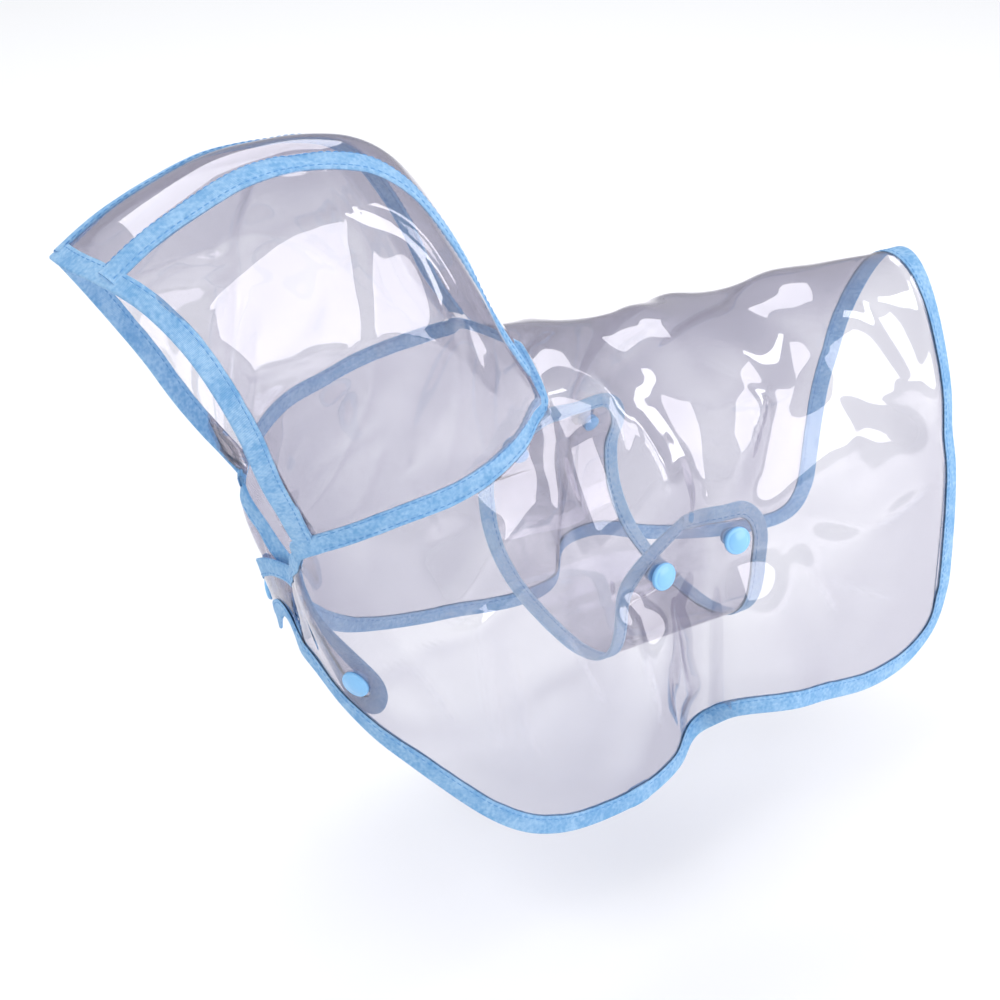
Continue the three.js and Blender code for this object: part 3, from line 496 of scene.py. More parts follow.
def cape_half(side):
    """Grids of one half's film, drawn in from the edges that are bound, and those edges."""
    arm, arm_normal = arm_grid(side, 0)
    arm_film, arm_highlight = arm_grid(side, MARGIN, ARM_CREASED)
    arm_edge, _ = arm_grid(side, MARGIN)
    arm_film[:, 0], arm_film[:, -1], arm_film[0] = arm_edge[:, 0], arm_edge[:, -1], arm_edge[0]

    section = np.r_[np.linspace(0, THROAT, FRONT + 1)[:-1], np.linspace(THROAT, SHOULDER, FLANK)]
    share = np.linspace(0, 1, ROWS_BELOW + 1)[None, :] * hem_share(side, section)[:, None]
    lift = layer_at(side, section)[:, None]
    chest, chest_normal = cape_point(side, section[:, None], share, lift)
    chest_film, chest_highlight = cape_point(side, section[:, None], share, lift, creases_kept(section, share))

    back_section = np.r_[np.linspace(SHOULDER, RUMP_START, BACK), np.linspace(RUMP_START, TAIL, RUMP)[1:]]
    back_share = np.r_[np.linspace(-1, 0, ROWS_ABOVE + 1)[:-1], np.linspace(0, 1, ROWS_BELOW + 1)][None, :]
    back, back_normal = cape_point(side, back_section[:, None], back_share)
    kept = creases_kept(back_section, back_share)
    nape = SECTION_STEP * (back_section[:, None] - SHOULDER)
    kept = kept * np.where(back_share <= 0, smooth(2, 14, nape), 1)
    back_film, back_highlight = cape_point(side, back_section[:, None], back_share, 0, kept)
    back_film[0, ROWS_ABOVE:] = chest_film[-1]

    # The edges, and the directions from them into the film
    neck_points, neck_normals = neck_of(chest, back), neck_of(chest_normal, back_normal)
    parts = hem_parts(chest, arm, back)
    hem_points, hem_normals = np.vstack(parts), np.vstack(hem_parts(chest_normal, arm_normal, back_normal))
    mirror = np.array([1.0, -1, 1])
    loop_points, loop_normals = np.vstack([neck_points, hem_points]), np.vstack([neck_normals, hem_normals])
    inward = facing_in(loop_points, loop_normals, -side, neck_points[1] * mirror, hem_points[-2] * mirror)
    neck_in, hem_in = inward[:len(neck_points)], inward[len(neck_points):]
    throat_in, upper_in, tip_in, lower_in, low_in, back_low_in, tail_in = np.split(
        hem_in, np.cumsum([len(part) for part in parts])[:-1])
    arm_in = (arm_edge - arm) / MARGIN
    upper_in[:], tip_in[:], lower_in[:] = arm_in[:, 0][::-1], arm_in[0, 1:-1], arm_in[:, -1]

    # The film's grids are drawn in from those edges, evenly between two opposite ones
    ramp = np.linspace(0, 1, ROWS_BELOW + 1)[None, :, None]
    top_margin = np.r_[np.full(FRONT, MARGIN), np.full(len(section) - FRONT, NECK_COVERED)][:, None]
    top_in = np.vstack([throat_in[::-1], neck_in[ROWS_ABOVE:][::-1]])
    chest_film += (top_in * top_margin)[:, None] * (1 - ramp) + (low_in * MARGIN)[:, None] * ramp
    from_neck = 1 - smooth(0, 4, back_section - SHOULDER)
    shoulder_in = (top_in[-1] * NECK_COVERED)[None, :] * from_neck[:, None]
    flank_in = np.vstack([low_in[-1:], back_low_in]) * MARGIN
    back_film[:, ROWS_ABOVE:] += shoulder_in[:, None] * (1 - ramp) + flank_in[:, None] * ramp
    back_film[:, :ROWS_ABOVE] += neck_in[:ROWS_ABOVE] * NECK_COVERED * from_neck[:, None, None]
    to_tail = smooth(TAIL - 2.4, TAIL, back_section)[:, None, None]
    back_film += (back[-1] + np.vstack([tail_in[::-1], back_low_in[-1]]) * MARGIN - back_film[-1]) * to_tail
    return {
        "side": side, "grids": [arm_film, chest_film, back_film], "painted_highlights": [arm_highlight, chest_highlight, back_highlight],
        "neck": (neck_points, neck_normals, neck_in), "hem": (hem_points, hem_normals, hem_in),
    }


# %% [markdown]
# ## Meshes
# Panels are grids of points. Grids that share an edge are welded into one surface, which then gets the
# film's wall. Binding is one profile, a cloth folded round the film, carried along an edge.

# %% Mesh making


def new_object(name, points, faces, material=None, uv=None):
    """A mesh object from points in mm and a list of face index arrays, with smooth shading."""
    mesh = bpy.data.meshes.new(name)
    mesh.from_pydata([], [], [])
    loops = np.concatenate([face.ravel() for face in faces])
    sizes = np.concatenate([np.full(len(face), face.shape[1]) for face in faces])
    mesh.vertices.add(len(points))
    mesh.vertices.foreach_set("co", (np.asarray(points) * MM).ravel())
    mesh.loops.add(len(loops))
    mesh.loops.foreach_set("vertex_index", loops.astype(np.int32))
    mesh.polygons.add(len(sizes))
    mesh.polygons.foreach_set("loop_start", np.r_[0, np.cumsum(sizes)[:-1]].astype(np.int32))
    mesh.update(calc_edges=True)
    mesh.validate()
    mesh.shade_smooth()
    if uv is not None:
        layer = mesh.uv_layers.new(name="cloth")
        layer.data.foreach_set("uv", np.asarray(uv)[loops].ravel())
    piece = bpy.data.objects.new(name, mesh)
    bpy.context.scene.collection.objects.link(piece)
    if material is not None:
        mesh.materials.append(material)
    return piece


def quads(rows, columns, start=0, closed=False):
    """Indices of the quads of a grid with that many rows and columns of points."""
    i, j = np.meshgrid(np.arange(rows - 1), np.arange(columns if closed else columns - 1), indexing="ij")
    k = (j + 1) % columns
    corners = [i * columns + j, (i + 1) * columns + j, (i + 1) * columns + k, i * columns + k]
    return start + np.stack(corners, -1).reshape(-1, 4)


def welded(grids, painted_highlights=None):
    """Points, quads and painted crease highlights of grids whose shared edges are joined, without the quads
    that vanish.
    """
    points = np.vstack([grid.reshape(-1, 3) for grid in grids])
    starts = np.r_[0, np.cumsum([grid.shape[0] * grid.shape[1] for grid in grids])]
    faces = np.vstack([quads(grid.shape[0], grid.shape[1], start) for grid, start in zip(grids, starts)])
    _, first, index = np.unique(np.round(points, 2), axis=0, return_index=True, return_inverse=True)
    faces = index.ravel()[faces]
    distinct = np.array([len(set(face)) == 4 for face in faces.tolist()])
    values = np.concatenate([highlight.ravel() for highlight in painted_highlights]) if painted_highlights else np.zeros(len(points))
    return points[first], faces[distinct], values[first]


def film_panel(name, grids, painted_highlights=None, wall=0.36):
    """A film panel: the welded grids with a thin wall about them, and its painted highlight along the creases.
    """
    points, faces, values = welded(grids, painted_highlights)
    piece = new_object(name, points, [faces], FILM)
    # The crease attribute carries the painted highlight along the creases' crests
    layer = piece.data.attributes.new("crease", "FLOAT", "POINT")
    layer.data.foreach_set("value", values.astype(np.float32))
    shell = piece.modifiers.new("wall", "SOLIDIFY")
    shell.thickness = wall * MM
    shell.offset = 0
    return piece


def outward(piece, centre):
    """Turns the faces to the side away from a line along X through centre, if most point toward it."""
    mesh = piece.data
    normals = np.empty(len(mesh.polygons) * 3)
    middles = np.empty(len(mesh.polygons) * 3)
    mesh.polygons.foreach_get("normal", normals)
    mesh.polygons.foreach_get("center", middles)
    away = (middles.reshape(-1, 3) - np.array(centre) * MM) * np.array([0.0, 1, 1])
    if np.sum(normals.reshape(-1, 3) * away) < 0:
        mesh.flip_normals()
    return piece


# %% Tapes and stitches
CLOTH, SLOT = 0.45, 0.34  # thickness of the binding, and half the room that it leaves for the film
BACK_LEAF = 0.2  # the binding's inner leaf is this much wider, so that one seam catches both
TAPE_STEP = 2.2  # distance between a tape's samples
CUT_FROM, CUT_TO = 3, 12  # a slanting end is cut between these distances from it
LAP_LENGTH, LAP_EDGE, LAP_RISE = 12, 0.4, 0.42


def level(places, height):
    """Places at one height, as pairs."""
    return np.stack([places, np.full(len(places), height)], 1)


def binding_profile(width, back_width):
    """Closed outline of the folded binding as (in, out) offsets from the edge, first outside, then inside."""
    radius = SLOT + CLOTH
    turn = np.radians(np.linspace(90, 270, 9))
    return np.vstack([
        [[width, radius - 0.12], [width - 0.12, radius]],
        level(np.linspace(width - 0.9, radius + 0.5, 5), radius),
        np.stack([radius + radius * np.cos(turn), radius * np.sin(turn)], 1),
        level(np.linspace(radius + 0.5, back_width - 0.9, 5), -radius),
        [[back_width - 0.12, -radius], [back_width, 0.12 - radius]],
        [[back_width, -SLOT]], level(np.linspace(back_width - 1, radius + 0.4, 3), -SLOT),
        np.stack([radius + SLOT * np.cos(turn[::-2]), SLOT * np.sin(turn[::-2])], 1),
        level(np.linspace(radius + 0.4, width - 1, 3), SLOT), [[width, SLOT]],
    ])


def pucker(travelled, seed):
    """Unevenness of sewn binding along its length, in mm: sines of 9 to 60 mm with their own phases."""
    phase = np.random.default_rng(seed).uniform(0, 2 * np.pi, 4)
    waves = zip((9.5, 14.3, 23.7, 58.0), (0.10, 0.14, 0.16, 0.2), phase)
    return sum(height * np.sin(2 * np.pi * travelled / length + start) for length, height, start in waves)


def resampled(points, normals, inward, spacing):
    """Samples of an edge at an even spacing, smoothed a little so that the binding runs fair."""
    travelled = run_of(points)
    even = np.linspace(0, travelled[-1], max(int(travelled[-1] / spacing), 8) + 1)
    p, n, w = (read_at(even, travelled, values) for values in (points, normals, inward))
    fair = lambda line: np.vstack([line[:1], (line[:-2] + 2 * line[1:-1] + line[2:]) / 4, line[-1:]])
    for _ in range(3):
        p, n, w = fair(p), fair(n), fair(w)
    tangent = unit(np.gradient(p, axis=0))
    n = unit(n - tangent * np.sum(n * tangent, axis=1, keepdims=True))
    w = unit(w - tangent * np.sum(w * tangent, axis=1, keepdims=True) * 0.5)
    return p, n, w, even


def closed_tape(name, grid, travelled, around, inside_out):
    """A tape from the grid of a closed profile carried along it, with both ends closed. UVs are in cm."""
    rows, columns = grid.shape[:2]
    uv = np.stack(np.broadcast_arrays(travelled[:, None], around[None, :]), -1).reshape(-1, 2) / 10
    faces = quads(rows, columns, closed=True)
    ends = [np.arange(columns)[None, ::-1], (np.arange(columns) + (rows - 1) * columns)[None]]
    if inside_out:
        faces, ends = faces[:, ::-1], [end[:, ::-1] for end in ends]
    return new_object(name, grid.reshape(-1, 3), [faces, *ends], TAPE, uv)


def binding(name, edge, width, seed, lap=None, cut=1.0):
    """Binding folded over an edge: P(t, k) = edge(t) + in_k inward(t) + out_k normal(t), with pucker.

    lap is the place along the edge, in mm, where the binding's end lies over its start. cut is the share
    of its width that is left at both ends, where it is cut slanting under another tape.
    """
    points, normals, inward, travelled = resampled(*edge, TAPE_STEP)
    outline = binding_profile(width, width + BACK_LEAF)
    across, out = outline[None, :, 0], outline[None, :, 1]
    wave, swell = pucker(travelled, seed)[:, None], pucker(travelled * 1.7 + 40, seed + 1)[:, None]
    to_end = np.minimum(travelled, travelled[-1] - travelled)[:, None]
    flat = across * (cut + (1 - cut) * smooth(CUT_FROM, CUT_TO, to_end)) + 0.35 * wave * (across / width)
    thick = out * (1 + 0.16 * swell * np.sin(np.pi * np.clip(across / width, 0, 1)))
    if lap is not None:
        begun, ended = (smooth(at - LAP_EDGE, at + LAP_EDGE, travelled) for at in (lap, lap + LAP_LENGTH))
        over = begun * (1 - ended)
        thick = thick + np.sign(thick) * (np.abs(out) > SLOT + 0.1) * LAP_RISE * over[:, None]
        flat = flat + 0.5 * over[:, None] * (across > width / 2)
    grid = points[:, None] + inward[:, None] * flat[..., None] + normals[:, None] * thick[..., None]
    inside_out = np.dot(np.cross(inward[0], normals[0]), points[1] - points[0]) > 0
    return closed_tape(name, grid, travelled, run_of(outline), inside_out), (points, normals, inward, travelled)


# %% Stitches


def stitches(name, lines, pitch=3.1, length=2.3, radius=0.2):
    """Lockstitch thread along lines: each stitch is a low arch that dips into the cloth at both ends.

    lines are (points, normals) pairs on the cloth's face. r(u) = radius sqrt(1 - (2u - 1)^4).
    """
    u = np.array([0, 0.12, 0.35, 0.65, 0.88, 1.0])
    thick = radius * np.maximum(1 - (2 * u - 1) ** 4, 0.05) ** 0.5
    arch = 0.14 * np.sin(np.pi * u) - 0.06
    angle = np.radians([0, 60, 120, 180, 240, 300])
    size = len(u) * len(angle)
    parts = []
    for points, normals in lines:
        travelled = run_of(points)
        starts = np.arange(pitch / 2, travelled[-1] - pitch, pitch)
        a, b = read_at(starts, travelled, points), read_at(starts + length, travelled, points)
        n = unit(read_at(starts + length / 2, travelled, normals))
        side = np.cross(unit(b - a), n)
        middle = a[:, None] + (b - a)[:, None] * u[:, None] + n[:, None] * arch[:, None]
        ring = side[:, None] * np.cos(angle)[:, None] + n[:, None] * np.sin(angle)[:, None]
        parts.append((middle[:, :, None] + thick[:, None, None] * ring[:, None]).reshape(-1, size, 3))
    blocks = np.concatenate(parts)
    first = np.arange(len(blocks))[:, None] * size
    walls = (quads(len(u), len(angle), closed=True)[:, ::-1][None] + first[..., None]).reshape(-1, 4)
    end = np.arange(len(angle))[None]
    caps = [end + first, end[:, ::-1] + first + size - len(angle)]
    return new_object(name, blocks.reshape(-1, 3), [walls, *caps], THREAD_PAINTED_DARKER)


STITCHED = 1.5  # the seam's distance from the binding's edge


def sewn(name, edge, width):
    """Stitches on both faces of a binding, along its inner edge."""
    points, normals, inward, _ = edge
    line = points + inward * (width - STITCHED)
    return stitches(name, [(line + normals * face * (SLOT + CLOTH), normals * face) for face in (1, -1)])


# %% [markdown]
# ## Materials
# The film is a clear sheet: most light goes straight through it, a little is lost on the way, and its two
# faces mirror the lights, more so at a glancing angle. Its see-through colour is also painted darker toward a
# glancing angle, a painted shade, and its crease crests get a painted highlight. The binding is a plain-woven
# polyester tape, so its bump is a weave that follows the tape's own length and width, with a faint unevenness
# of the dye. The strap's tape is painted paler, a painted light, and the thread darker, a painted shade.

# %% Materials


def material(name):
    """An empty node material and its node tree."""
    made = bpy.data.materials.new(name)
    made.use_nodes = True
    made.node_tree.nodes.clear()
    return made, made.node_tree


def node(tree, kind, **values):
    """A shader node with its inputs set by name; a value that is a socket is linked."""
    made = tree.nodes.new(kind)
    for key, value in values.items():
        name = key.replace("_", " ")
        if name not in made.inputs:
            setattr(made, key, value)
        elif isinstance(value, bpy.types.NodeSocket):
            tree.links.new(value, made.inputs[name])
        else:
            made.inputs[name].default_value = value
    return made


def mixed(tree, share, first, second):
    """A share of the second shader over the first."""
    made = node(tree, "ShaderNodeMixShader", Fac=share)
    tree.links.new(first.outputs[0], made.inputs[1])
    tree.links.new(second.outputs[0], made.inputs[2])
    return made


def blended(tree, share, first, second):
    """A share of the second colour over the first."""
    made = node(tree, "ShaderNodeMix", data_type="RGBA")
    made.inputs[6].default_value, made.inputs[7].default_value = (*first, 1), (*second, 1)
    tree.links.new(share, made.inputs[0])
    return made.outputs[2]


def reckoned(tree, operation, first, second, **more):
    """The sum or product of two outputs."""
    made = node(tree, "ShaderNodeMath", operation=operation, **more)
    tree.links.new(first, made.inputs[0])
    tree.links.new(second, made.inputs[1])
    return made.outputs[0]


def surfaced(tree, shader):
    """Makes a shader the material's surface."""
    node(tree, "ShaderNodeOutputMaterial", Surface=shader.outputs[0])


# %% Clear film
FILM_IOR, FILM_GAIN = 1.55, 1.3  # of the plastic, and how much brighter its reflections are than Fresnel's


def clear_film():
    """Clear plastic: Transparent mixed with Glossy by Fresnel, with a faint haze, a painted highlight along the
    creases' crests, painted shade at a glancing angle, and fine ripple.
    """
    made, tree = material("clear_film")
    place = node(tree, "ShaderNodeTexCoord").outputs["Object"]
    uneven = node(tree, "ShaderNodeTexNoise", Vector=place, Scale=40.0, Detail=0.0)
    bump = node(tree, "ShaderNodeBump", Strength=0.05, Distance=0.0012, Height=uneven.outputs["Fac"])
    bump = bump.outputs["Normal"]
    painted_highlights = node(tree, "ShaderNodeAttribute", attribute_name="crease").outputs["Fac"]
    glancing = node(tree, "ShaderNodeLayerWeight", Blend=0.42).outputs["Facing"]
    # Clear tint face on, painted darker toward a glancing angle: painted shade in place of the dark
    # surroundings that the film would mirror there
    tint_with_painted_glancing_shade = blended(tree, glancing, (0.93, 0.926, 0.943), (0.58, 0.57, 0.65))
    through_film = node(tree, "ShaderNodeBsdfTransparent", Color=tint_with_painted_glancing_shade)
    mirror = node(tree, "ShaderNodeBsdfGlossy", Color=(0.96, 0.94, 0.96, 1), Roughness=0.035, Normal=bump)
    # Diffuse haze: a faint real haze of 0.03 everywhere, and up to 0.42 along the creases' crests, where it is
    # a painted highlight
    haze = node(tree, "ShaderNodeBsdfDiffuse", Color=(0.80, 0.81, 0.88, 1))
    haze_and_painted_highlight = node(tree, "ShaderNodeMapRange", Value=painted_highlights, To_Min=0.03, To_Max=0.42)
    body = mixed(tree, haze_and_painted_highlight.outputs["Result"], through_film, haze)
    # A wall is entered and left: the far face is seen from behind, and turns its IOR round
    backs = node(tree, "ShaderNodeNewGeometry").outputs["Backfacing"]
    ior = node(tree, "ShaderNodeMapRange", Value=backs, To_Min=FILM_IOR, To_Max=1 / FILM_IOR)
    fresnel = node(tree, "ShaderNodeFresnel", IOR=ior.outputs["Result"], Normal=bump)
    gain = node(tree, "ShaderNodeMath", operation="MULTIPLY", use_clamp=True)
    tree.links.new(fresnel.outputs[0], gain.inputs[0])
    gain.inputs[1].default_value = FILM_GAIN
    surfaced(tree, mixed(tree, gain.outputs[0], body, mirror))
    return made


# %% Woven tape, and grain
THREADS_PER_CM, TURN = 42.0, 6.28
MOULDED = {"scale": 900.0, "strength": 0.08, "depth": 0.0002, "Coat_Weight": 0.2}


def woven(name, colour, dark):
    """Plain-woven cloth on its own UVs: two crossed sine waves make the bump, noise the dye."""
    made, tree = material(name)
    uv = node(tree, "ShaderNodeUVMap", uv_map="cloth").outputs["UV"]
    thread = {"Vector": uv, "Scale": THREADS_PER_CM / TURN, "Distortion": 0.6, "Detail": 1.0}
    warp = node(tree, "ShaderNodeTexWave", **thread)
    weft = node(tree, "ShaderNodeTexWave", bands_direction="Y", **thread)
    weave = reckoned(tree, "MULTIPLY", warp.outputs["Fac"], weft.outputs["Fac"])
    place = node(tree, "ShaderNodeTexCoord").outputs["Object"]
    dye = node(tree, "ShaderNodeTexNoise", Vector=place, Scale=90.0, Detail=2.0)
    fleck = node(tree, "ShaderNodeTexNoise", Vector=place, Scale=620.0, Detail=1.0)
    mottle = reckoned(tree, "ADD", dye.outputs["Fac"], fleck.outputs["Fac"])
    shade = node(tree, "ShaderNodeMapRange", Value=mottle, From_Min=0.74, From_Max=1.26)
    bump = node(tree, "ShaderNodeBump", Strength=0.6, Distance=0.0004, Height=weave)
    dyed = blended(tree, shade.outputs[0], dark, colour)
    cloth = node(
        tree, "ShaderNodeBsdfPrincipled", Base_Color=dyed, Roughness=0.62, Normal=bump.outputs["Normal"],
        Sheen_Weight=0.06, Sheen_Roughness=0.4, Specular_IOR_Level=0.25)
    surfaced(tree, cloth)
    return made


def grained(name, colour, roughness, scale, strength, depth, **more):
    """Plain material with a fine grain: moulded plastic, or paper."""
    made, tree = material(name)
    place = node(tree, "ShaderNodeTexCoord").outputs["Object"]
    grain = node(tree, "ShaderNodeTexNoise", Vector=place, Scale=scale, Detail=2.0)
    bump = node(tree, "ShaderNodeBump", Strength=strength, Distance=depth, Height=grain.outputs["Fac"])
    surfaced(tree, node(
        tree, "ShaderNodeBsdfPrincipled", Base_Color=(*colour, 1), Roughness=roughness,
        Normal=bump.outputs["Normal"], **more))
    return made


FILM = clear_film()
TAPE = woven("blue_tape", (0.37, 0.61, 0.88), (0.18, 0.42, 0.74))
# The same tape painted paler: painted light that lifts the strap's tape where the cape's film shades and veils
# it
STRAP_TAPE_PAINTED_LIGHTER = woven("strap_tape", (0.55, 0.77, 0.96), (0.36, 0.61, 0.88))
# Real stitching thread, painted darker than the tape so that the stitches draw the seams' shadow lines: painted
# shade
THREAD_PAINTED_DARKER = grained("blue_thread", (0.11, 0.33, 0.68), 0.6, **MOULDED)
SNAP = grained("blue_snap", (0.24, 0.55, 0.90), 0.25, **MOULDED)
print("materials:", *[made.name for made in (FILM, TAPE, STRAP_TAPE_PAINTED_LIGHTER, THREAD_PAINTED_DARKER, SNAP)])

# %% [markdown]
# ## The cape
# One piece of film from the crossed arms to the tail, with no seam down the back. The film runs on inside
# the binding almost to its fold, as the real one does, so the edge seen through the film's own side shows
# the tape's darker inner fold.

# %% Cape film
halves = [cape_half(LEFT), cape_half(RIGHT)]
ridge = sum(half["grids"][2][:, 0] for half in halves) / 2  # one line down the back: there is no seam
for half in halves:
    half["grids"][2][:, 0] = ridge


def strip_inside(points, inward, rows):
    """Strip of film inside a binding: rows at distances from its fold, from the panel's edge outward."""
    return points[:, None] + inward[:, None] * np.array(rows)[None, :, None]


def facing_out(half, grids):
    """The grids of a half, turned so that both halves' faces look the same way."""
    return [grid if half["side"] == LEFT else grid[::-1] for grid in grids]


cape_parts, cape_crease_highlights = [], []
for half in halves:
    points, _, inward = half["hem"]
    strip = strip_inside(points, inward, [MARGIN, 6.0, 3.2, 1.0])
    cape_parts += facing_out(half, [*half["grids"], strip])
    cape_crease_highlights += facing_out(half, [*half["painted_highlights"], np.zeros(strip.shape[:2])])
cape = outward(film_panel("cape_film", cape_parts, cape_crease_highlights), (0, 0, -150))
print("cape film:", len(cape.data.vertices), "points")

# %% [markdown]
# ## Binding on the hem
# One long tape, from the left of the throat down the crossed edge, round the arm's end, along the hem, over
# the tail and back up the other side. Its end lies over itself at the lowest point of the near side, where
# the photograph shows a small step.

# %% Hem tape
HEM_UNDER = 6.0  # the hem tape's ends run on along the neck seam, under its tape
HEM_HIDDEN = 6  # samples at each end that are sewn under the neck tape
LAP_PLACE = np.array([-2, -82, -191])


def hem_line():
    """The hem's samples as one open line, from under the neck tape at the left throat to the right one."""
    sides = []
    for half in halves:
        under = np.linalg.norm(half["neck"][0] - half["neck"][0][-1], axis=1) < HEM_UNDER
        sides.append([np.vstack([seam[under], hem]) for seam, hem in zip(half["neck"], half["hem"])])
    return tuple(np.vstack([a, b[:-1][::-1]]) for a, b in zip(*sides))


hem_edge = hem_line()
hem_travelled = run_of(hem_edge[0])
lap_spot = np.argmin(np.linalg.norm(hem_edge[0] - LAP_PLACE, axis=1))
hem_tape, hem_fair = binding("hem_binding", hem_edge, HEM_WIDTH, 3, lap=hem_travelled[lap_spot], cut=0.5)
hem_stitches = sewn("hem_stitching", [values[HEM_HIDDEN:-HEM_HIDDEN] for values in hem_fair], HEM_WIDTH)
print("hem tape, mm:", round(hem_travelled[-1]))

# %% [markdown]
# ## Seam bands
# The neck seam and the two crown seams are covered on both faces by the same tape, which closes round the
# seam like a flat tube. A band is a soft-edged profile carried along the seam, bent to both panels.

# %% Bands
BAND_HALF = 0.72  # half of a band's thickness
BAND_PLACES = np.r_[-1, -0.985, -0.94, -0.8, -0.5, -0.2, 0.1, 0.4, 0.7, 0.9, 0.97, 0.995, 1]
BAND_MIDDLE, BAND_SEWN = 6, (3, 8)  # the place near its middle, and those of its two rows of stitches


def seam_band(name, low, middle, high, centre, seed, over=0.0):
    """Flat band through three lines: P(q) is the quadratic through them, q from -1 to 1, and the half
    thickness is h sqrt(1 - q^10). Its ends stand out by over, where they cover other tapes."""
    q = BAND_PLACES
    travelled = run_of(middle)
    wave = pucker(travelled, seed)[:, None, None]
    weights = q * (q - 1) / 2, 1 - q * q, q * (q + 1) / 2
    spread = sum(line[:, None] * weight[:, None] for line, weight in zip((low, middle, high), weights))
    spread = spread + (high - low)[:, None] * 0.022 * wave * q[None, :, None]
    along, across = np.gradient(spread, axis=0), np.gradient(spread, axis=1)
    normal = unit(np.cross(along, across))
    if np.sum(normal[:, BAND_MIDDLE] * (middle - centre)) < 0:
        normal = -normal
    to_end = np.minimum(travelled, travelled[-1] - travelled)
    raised = 1 + over * (1 - smooth(9, 15, to_end))[:, None, None]
    profile = BAND_HALF * np.sqrt(np.maximum(1 - np.abs(q) ** 10, 0))
    thick = profile[None, :, None] * (1 + 0.15 * wave) * raised
    grid = np.concatenate([spread + normal * thick, (spread - normal * thick)[:, -2:0:-1]], axis=1)
    reach = np.linalg.norm(high - low, axis=1).mean() / 2
    around = np.r_[q * reach, (q * reach)[-2:0:-1] + 2 * reach + 2]
    start = [vectors[0, BAND_MIDDLE] for vectors in (across, normal, along)]
    made = closed_tape(name, grid, travelled, around, np.dot(np.cross(start[0], start[1]), start[2]) < 0)
    return made, [
        (spread[:, place] + normal[:, place] * face * BAND_HALF, normal[:, place] * face)
        for place in BAND_SEWN for face in (1, -1)
    ]


def evenly_spaced(lines):
    """Lines that belong together, read at an even spacing of the first one."""
    travelled = run_of(lines[0])
    even = np.linspace(0, travelled[-1], int(travelled[-1] / TAPE_STEP) + 1)
    return [read_at(even, travelled, line) for line in lines]


# %% Neck tape
NECK_UP = np.array([-0.25, 0, 1]) / np.linalg.norm([-0.25, 0, 1])
NECK_PAST = 2.8  # the tape runs on past the throat, over the ends of the other two
NECK_MIDDLE = np.array([-70.0, 0, -20])
neck_lines = []
for half in halves:
    points, normals, inward = half["neck"]
    points = np.vstack([points, points[-1] + unit(points[-1] - points[-2]) * NECK_PAST])
    inward = np.vstack([inward, inward[-1:]])
    neck_lines.append([points + NECK_UP * NECK_HALF, points, points + inward * NECK_HALF])
neck_three = [np.vstack([left[::-1], right[1:]]) for left, right in zip(*neck_lines)]
neck_tape, neck_sewn = seam_band("neck_binding", *evenly_spaced(neck_three), NECK_MIDDLE, 11, over=0.8)
neck_stitches = stitches("neck_stitching", neck_sewn)
print("neck tape, mm:", round(run_of(neck_three[1])[-1]))

# %% [markdown]
# ## The hood
# Two side panels and a strip over the crown. Each panel is stretched between its four edges: a Coons patch,
# S(u, v) = (1-v) bottom(u) + v top(u) + (1-u) left(v) + u right(v) - corners. The sides swell a little and
# are creased where the film has been folded flat. The head turns the hood slightly on the neck.

# %% Hood tables
FACE_EDGE = [
    [-128.3, 30, -42.8], [-148, 38, -7], [-159, 43, 18], [-171, 46, 42],
    [-182, 44, 62], [-192, 34, 77], [-200, 18, 85],
]
CROWN_SEAM = [
    [-36, 25, 29], [-45.6, 22, 52], [-56.4, 20, 73], [-69, 17, 91], [-82, 14, 101], [-98, 13, 106],
    [-114, 12, 108], [-136, 14, 108], [-160, 16, 102], [-180, 17, 95], [-200, 18, 85],
]
# Folds and creases of a side panel in its own shares, u from the neck to the face and v from the throat to
# the crown
HOOD_FOLDS = table("au av bu bv height width crisp", [
    [0.62, 0.98, 0.5, 0.45, 2.5, 0.07, 0.6],
    [0.5, 0.45, 0.08, 0.62, -2.0, 0.07, 0.5],
    [0.5, 0.45, 0.86, 0.5, 2.0, 0.07, 0.6],
    [0.3, 0.95, 0.14, 0.4, -2.0, 0.08, 0.4],
    [0.56, 0.91, 0.06, 0.82, 1.8, 0.03, 0.9],
    [0.55, 0.9, 0.1, 0.74, -1.4, 0.03, 0.9],
    [0.53, 0.6, 0.06, 0.79, 2.0, 0.03, 0.9],
    [0.5, 0.45, 0.42, 0.12, 1.5, 0.035, 0.8],
    [0.58, 0.53, 0.93, 0.52, 1.2, 0.025, 0.9],
    [0.3, 0.35, 0.08, 0.2, 1.2, 0.035, 0.8],
    [0.72, 0.3, 0.92, 0.16, -1.2, 0.04, 0.7],
    [0.25, 0.7, 0.05, 0.5, 1.2, 0.03, 0.8],
])
LARGE_FOLDS = 4  # the first rows, which the solid has too
FAR_HOOD_SHARE = 0.8  # the right side's are lower
# Corners of the flat facet between those creases, as (u, v); the film is tight there
HOOD_FACET = np.array([[0.975, 0.8], [0.562, 0.913], [0.531, 0.606], [0.588, 0.537], [0.944, 0.531]])
FADE = 7  # a margin at a panel's edge is gone a third of the way across
FACET_EDGE, FACET_MOST = 0.03, 3.2  # how soft its border is, and how far it may move the film in mm
THROAT_CUT, BRIM_FORWARD, STRIP_RISE, SIDE_SWELL = 0.1, 2.5, 3, 8
HOOD_MIDDLE, HOOD_PIVOT = np.array([-95.0, 0, 20]), NECK_MIDDLE
HOOD_YAW, HOOD_ROLL = math.radians(8), math.radians(-6)
CROWN_OVER_STRIP, CROWN_OVER_SIDE, CROWN_LIFT = 3.0, 5.5, 0.6

# %% Hood surfaces


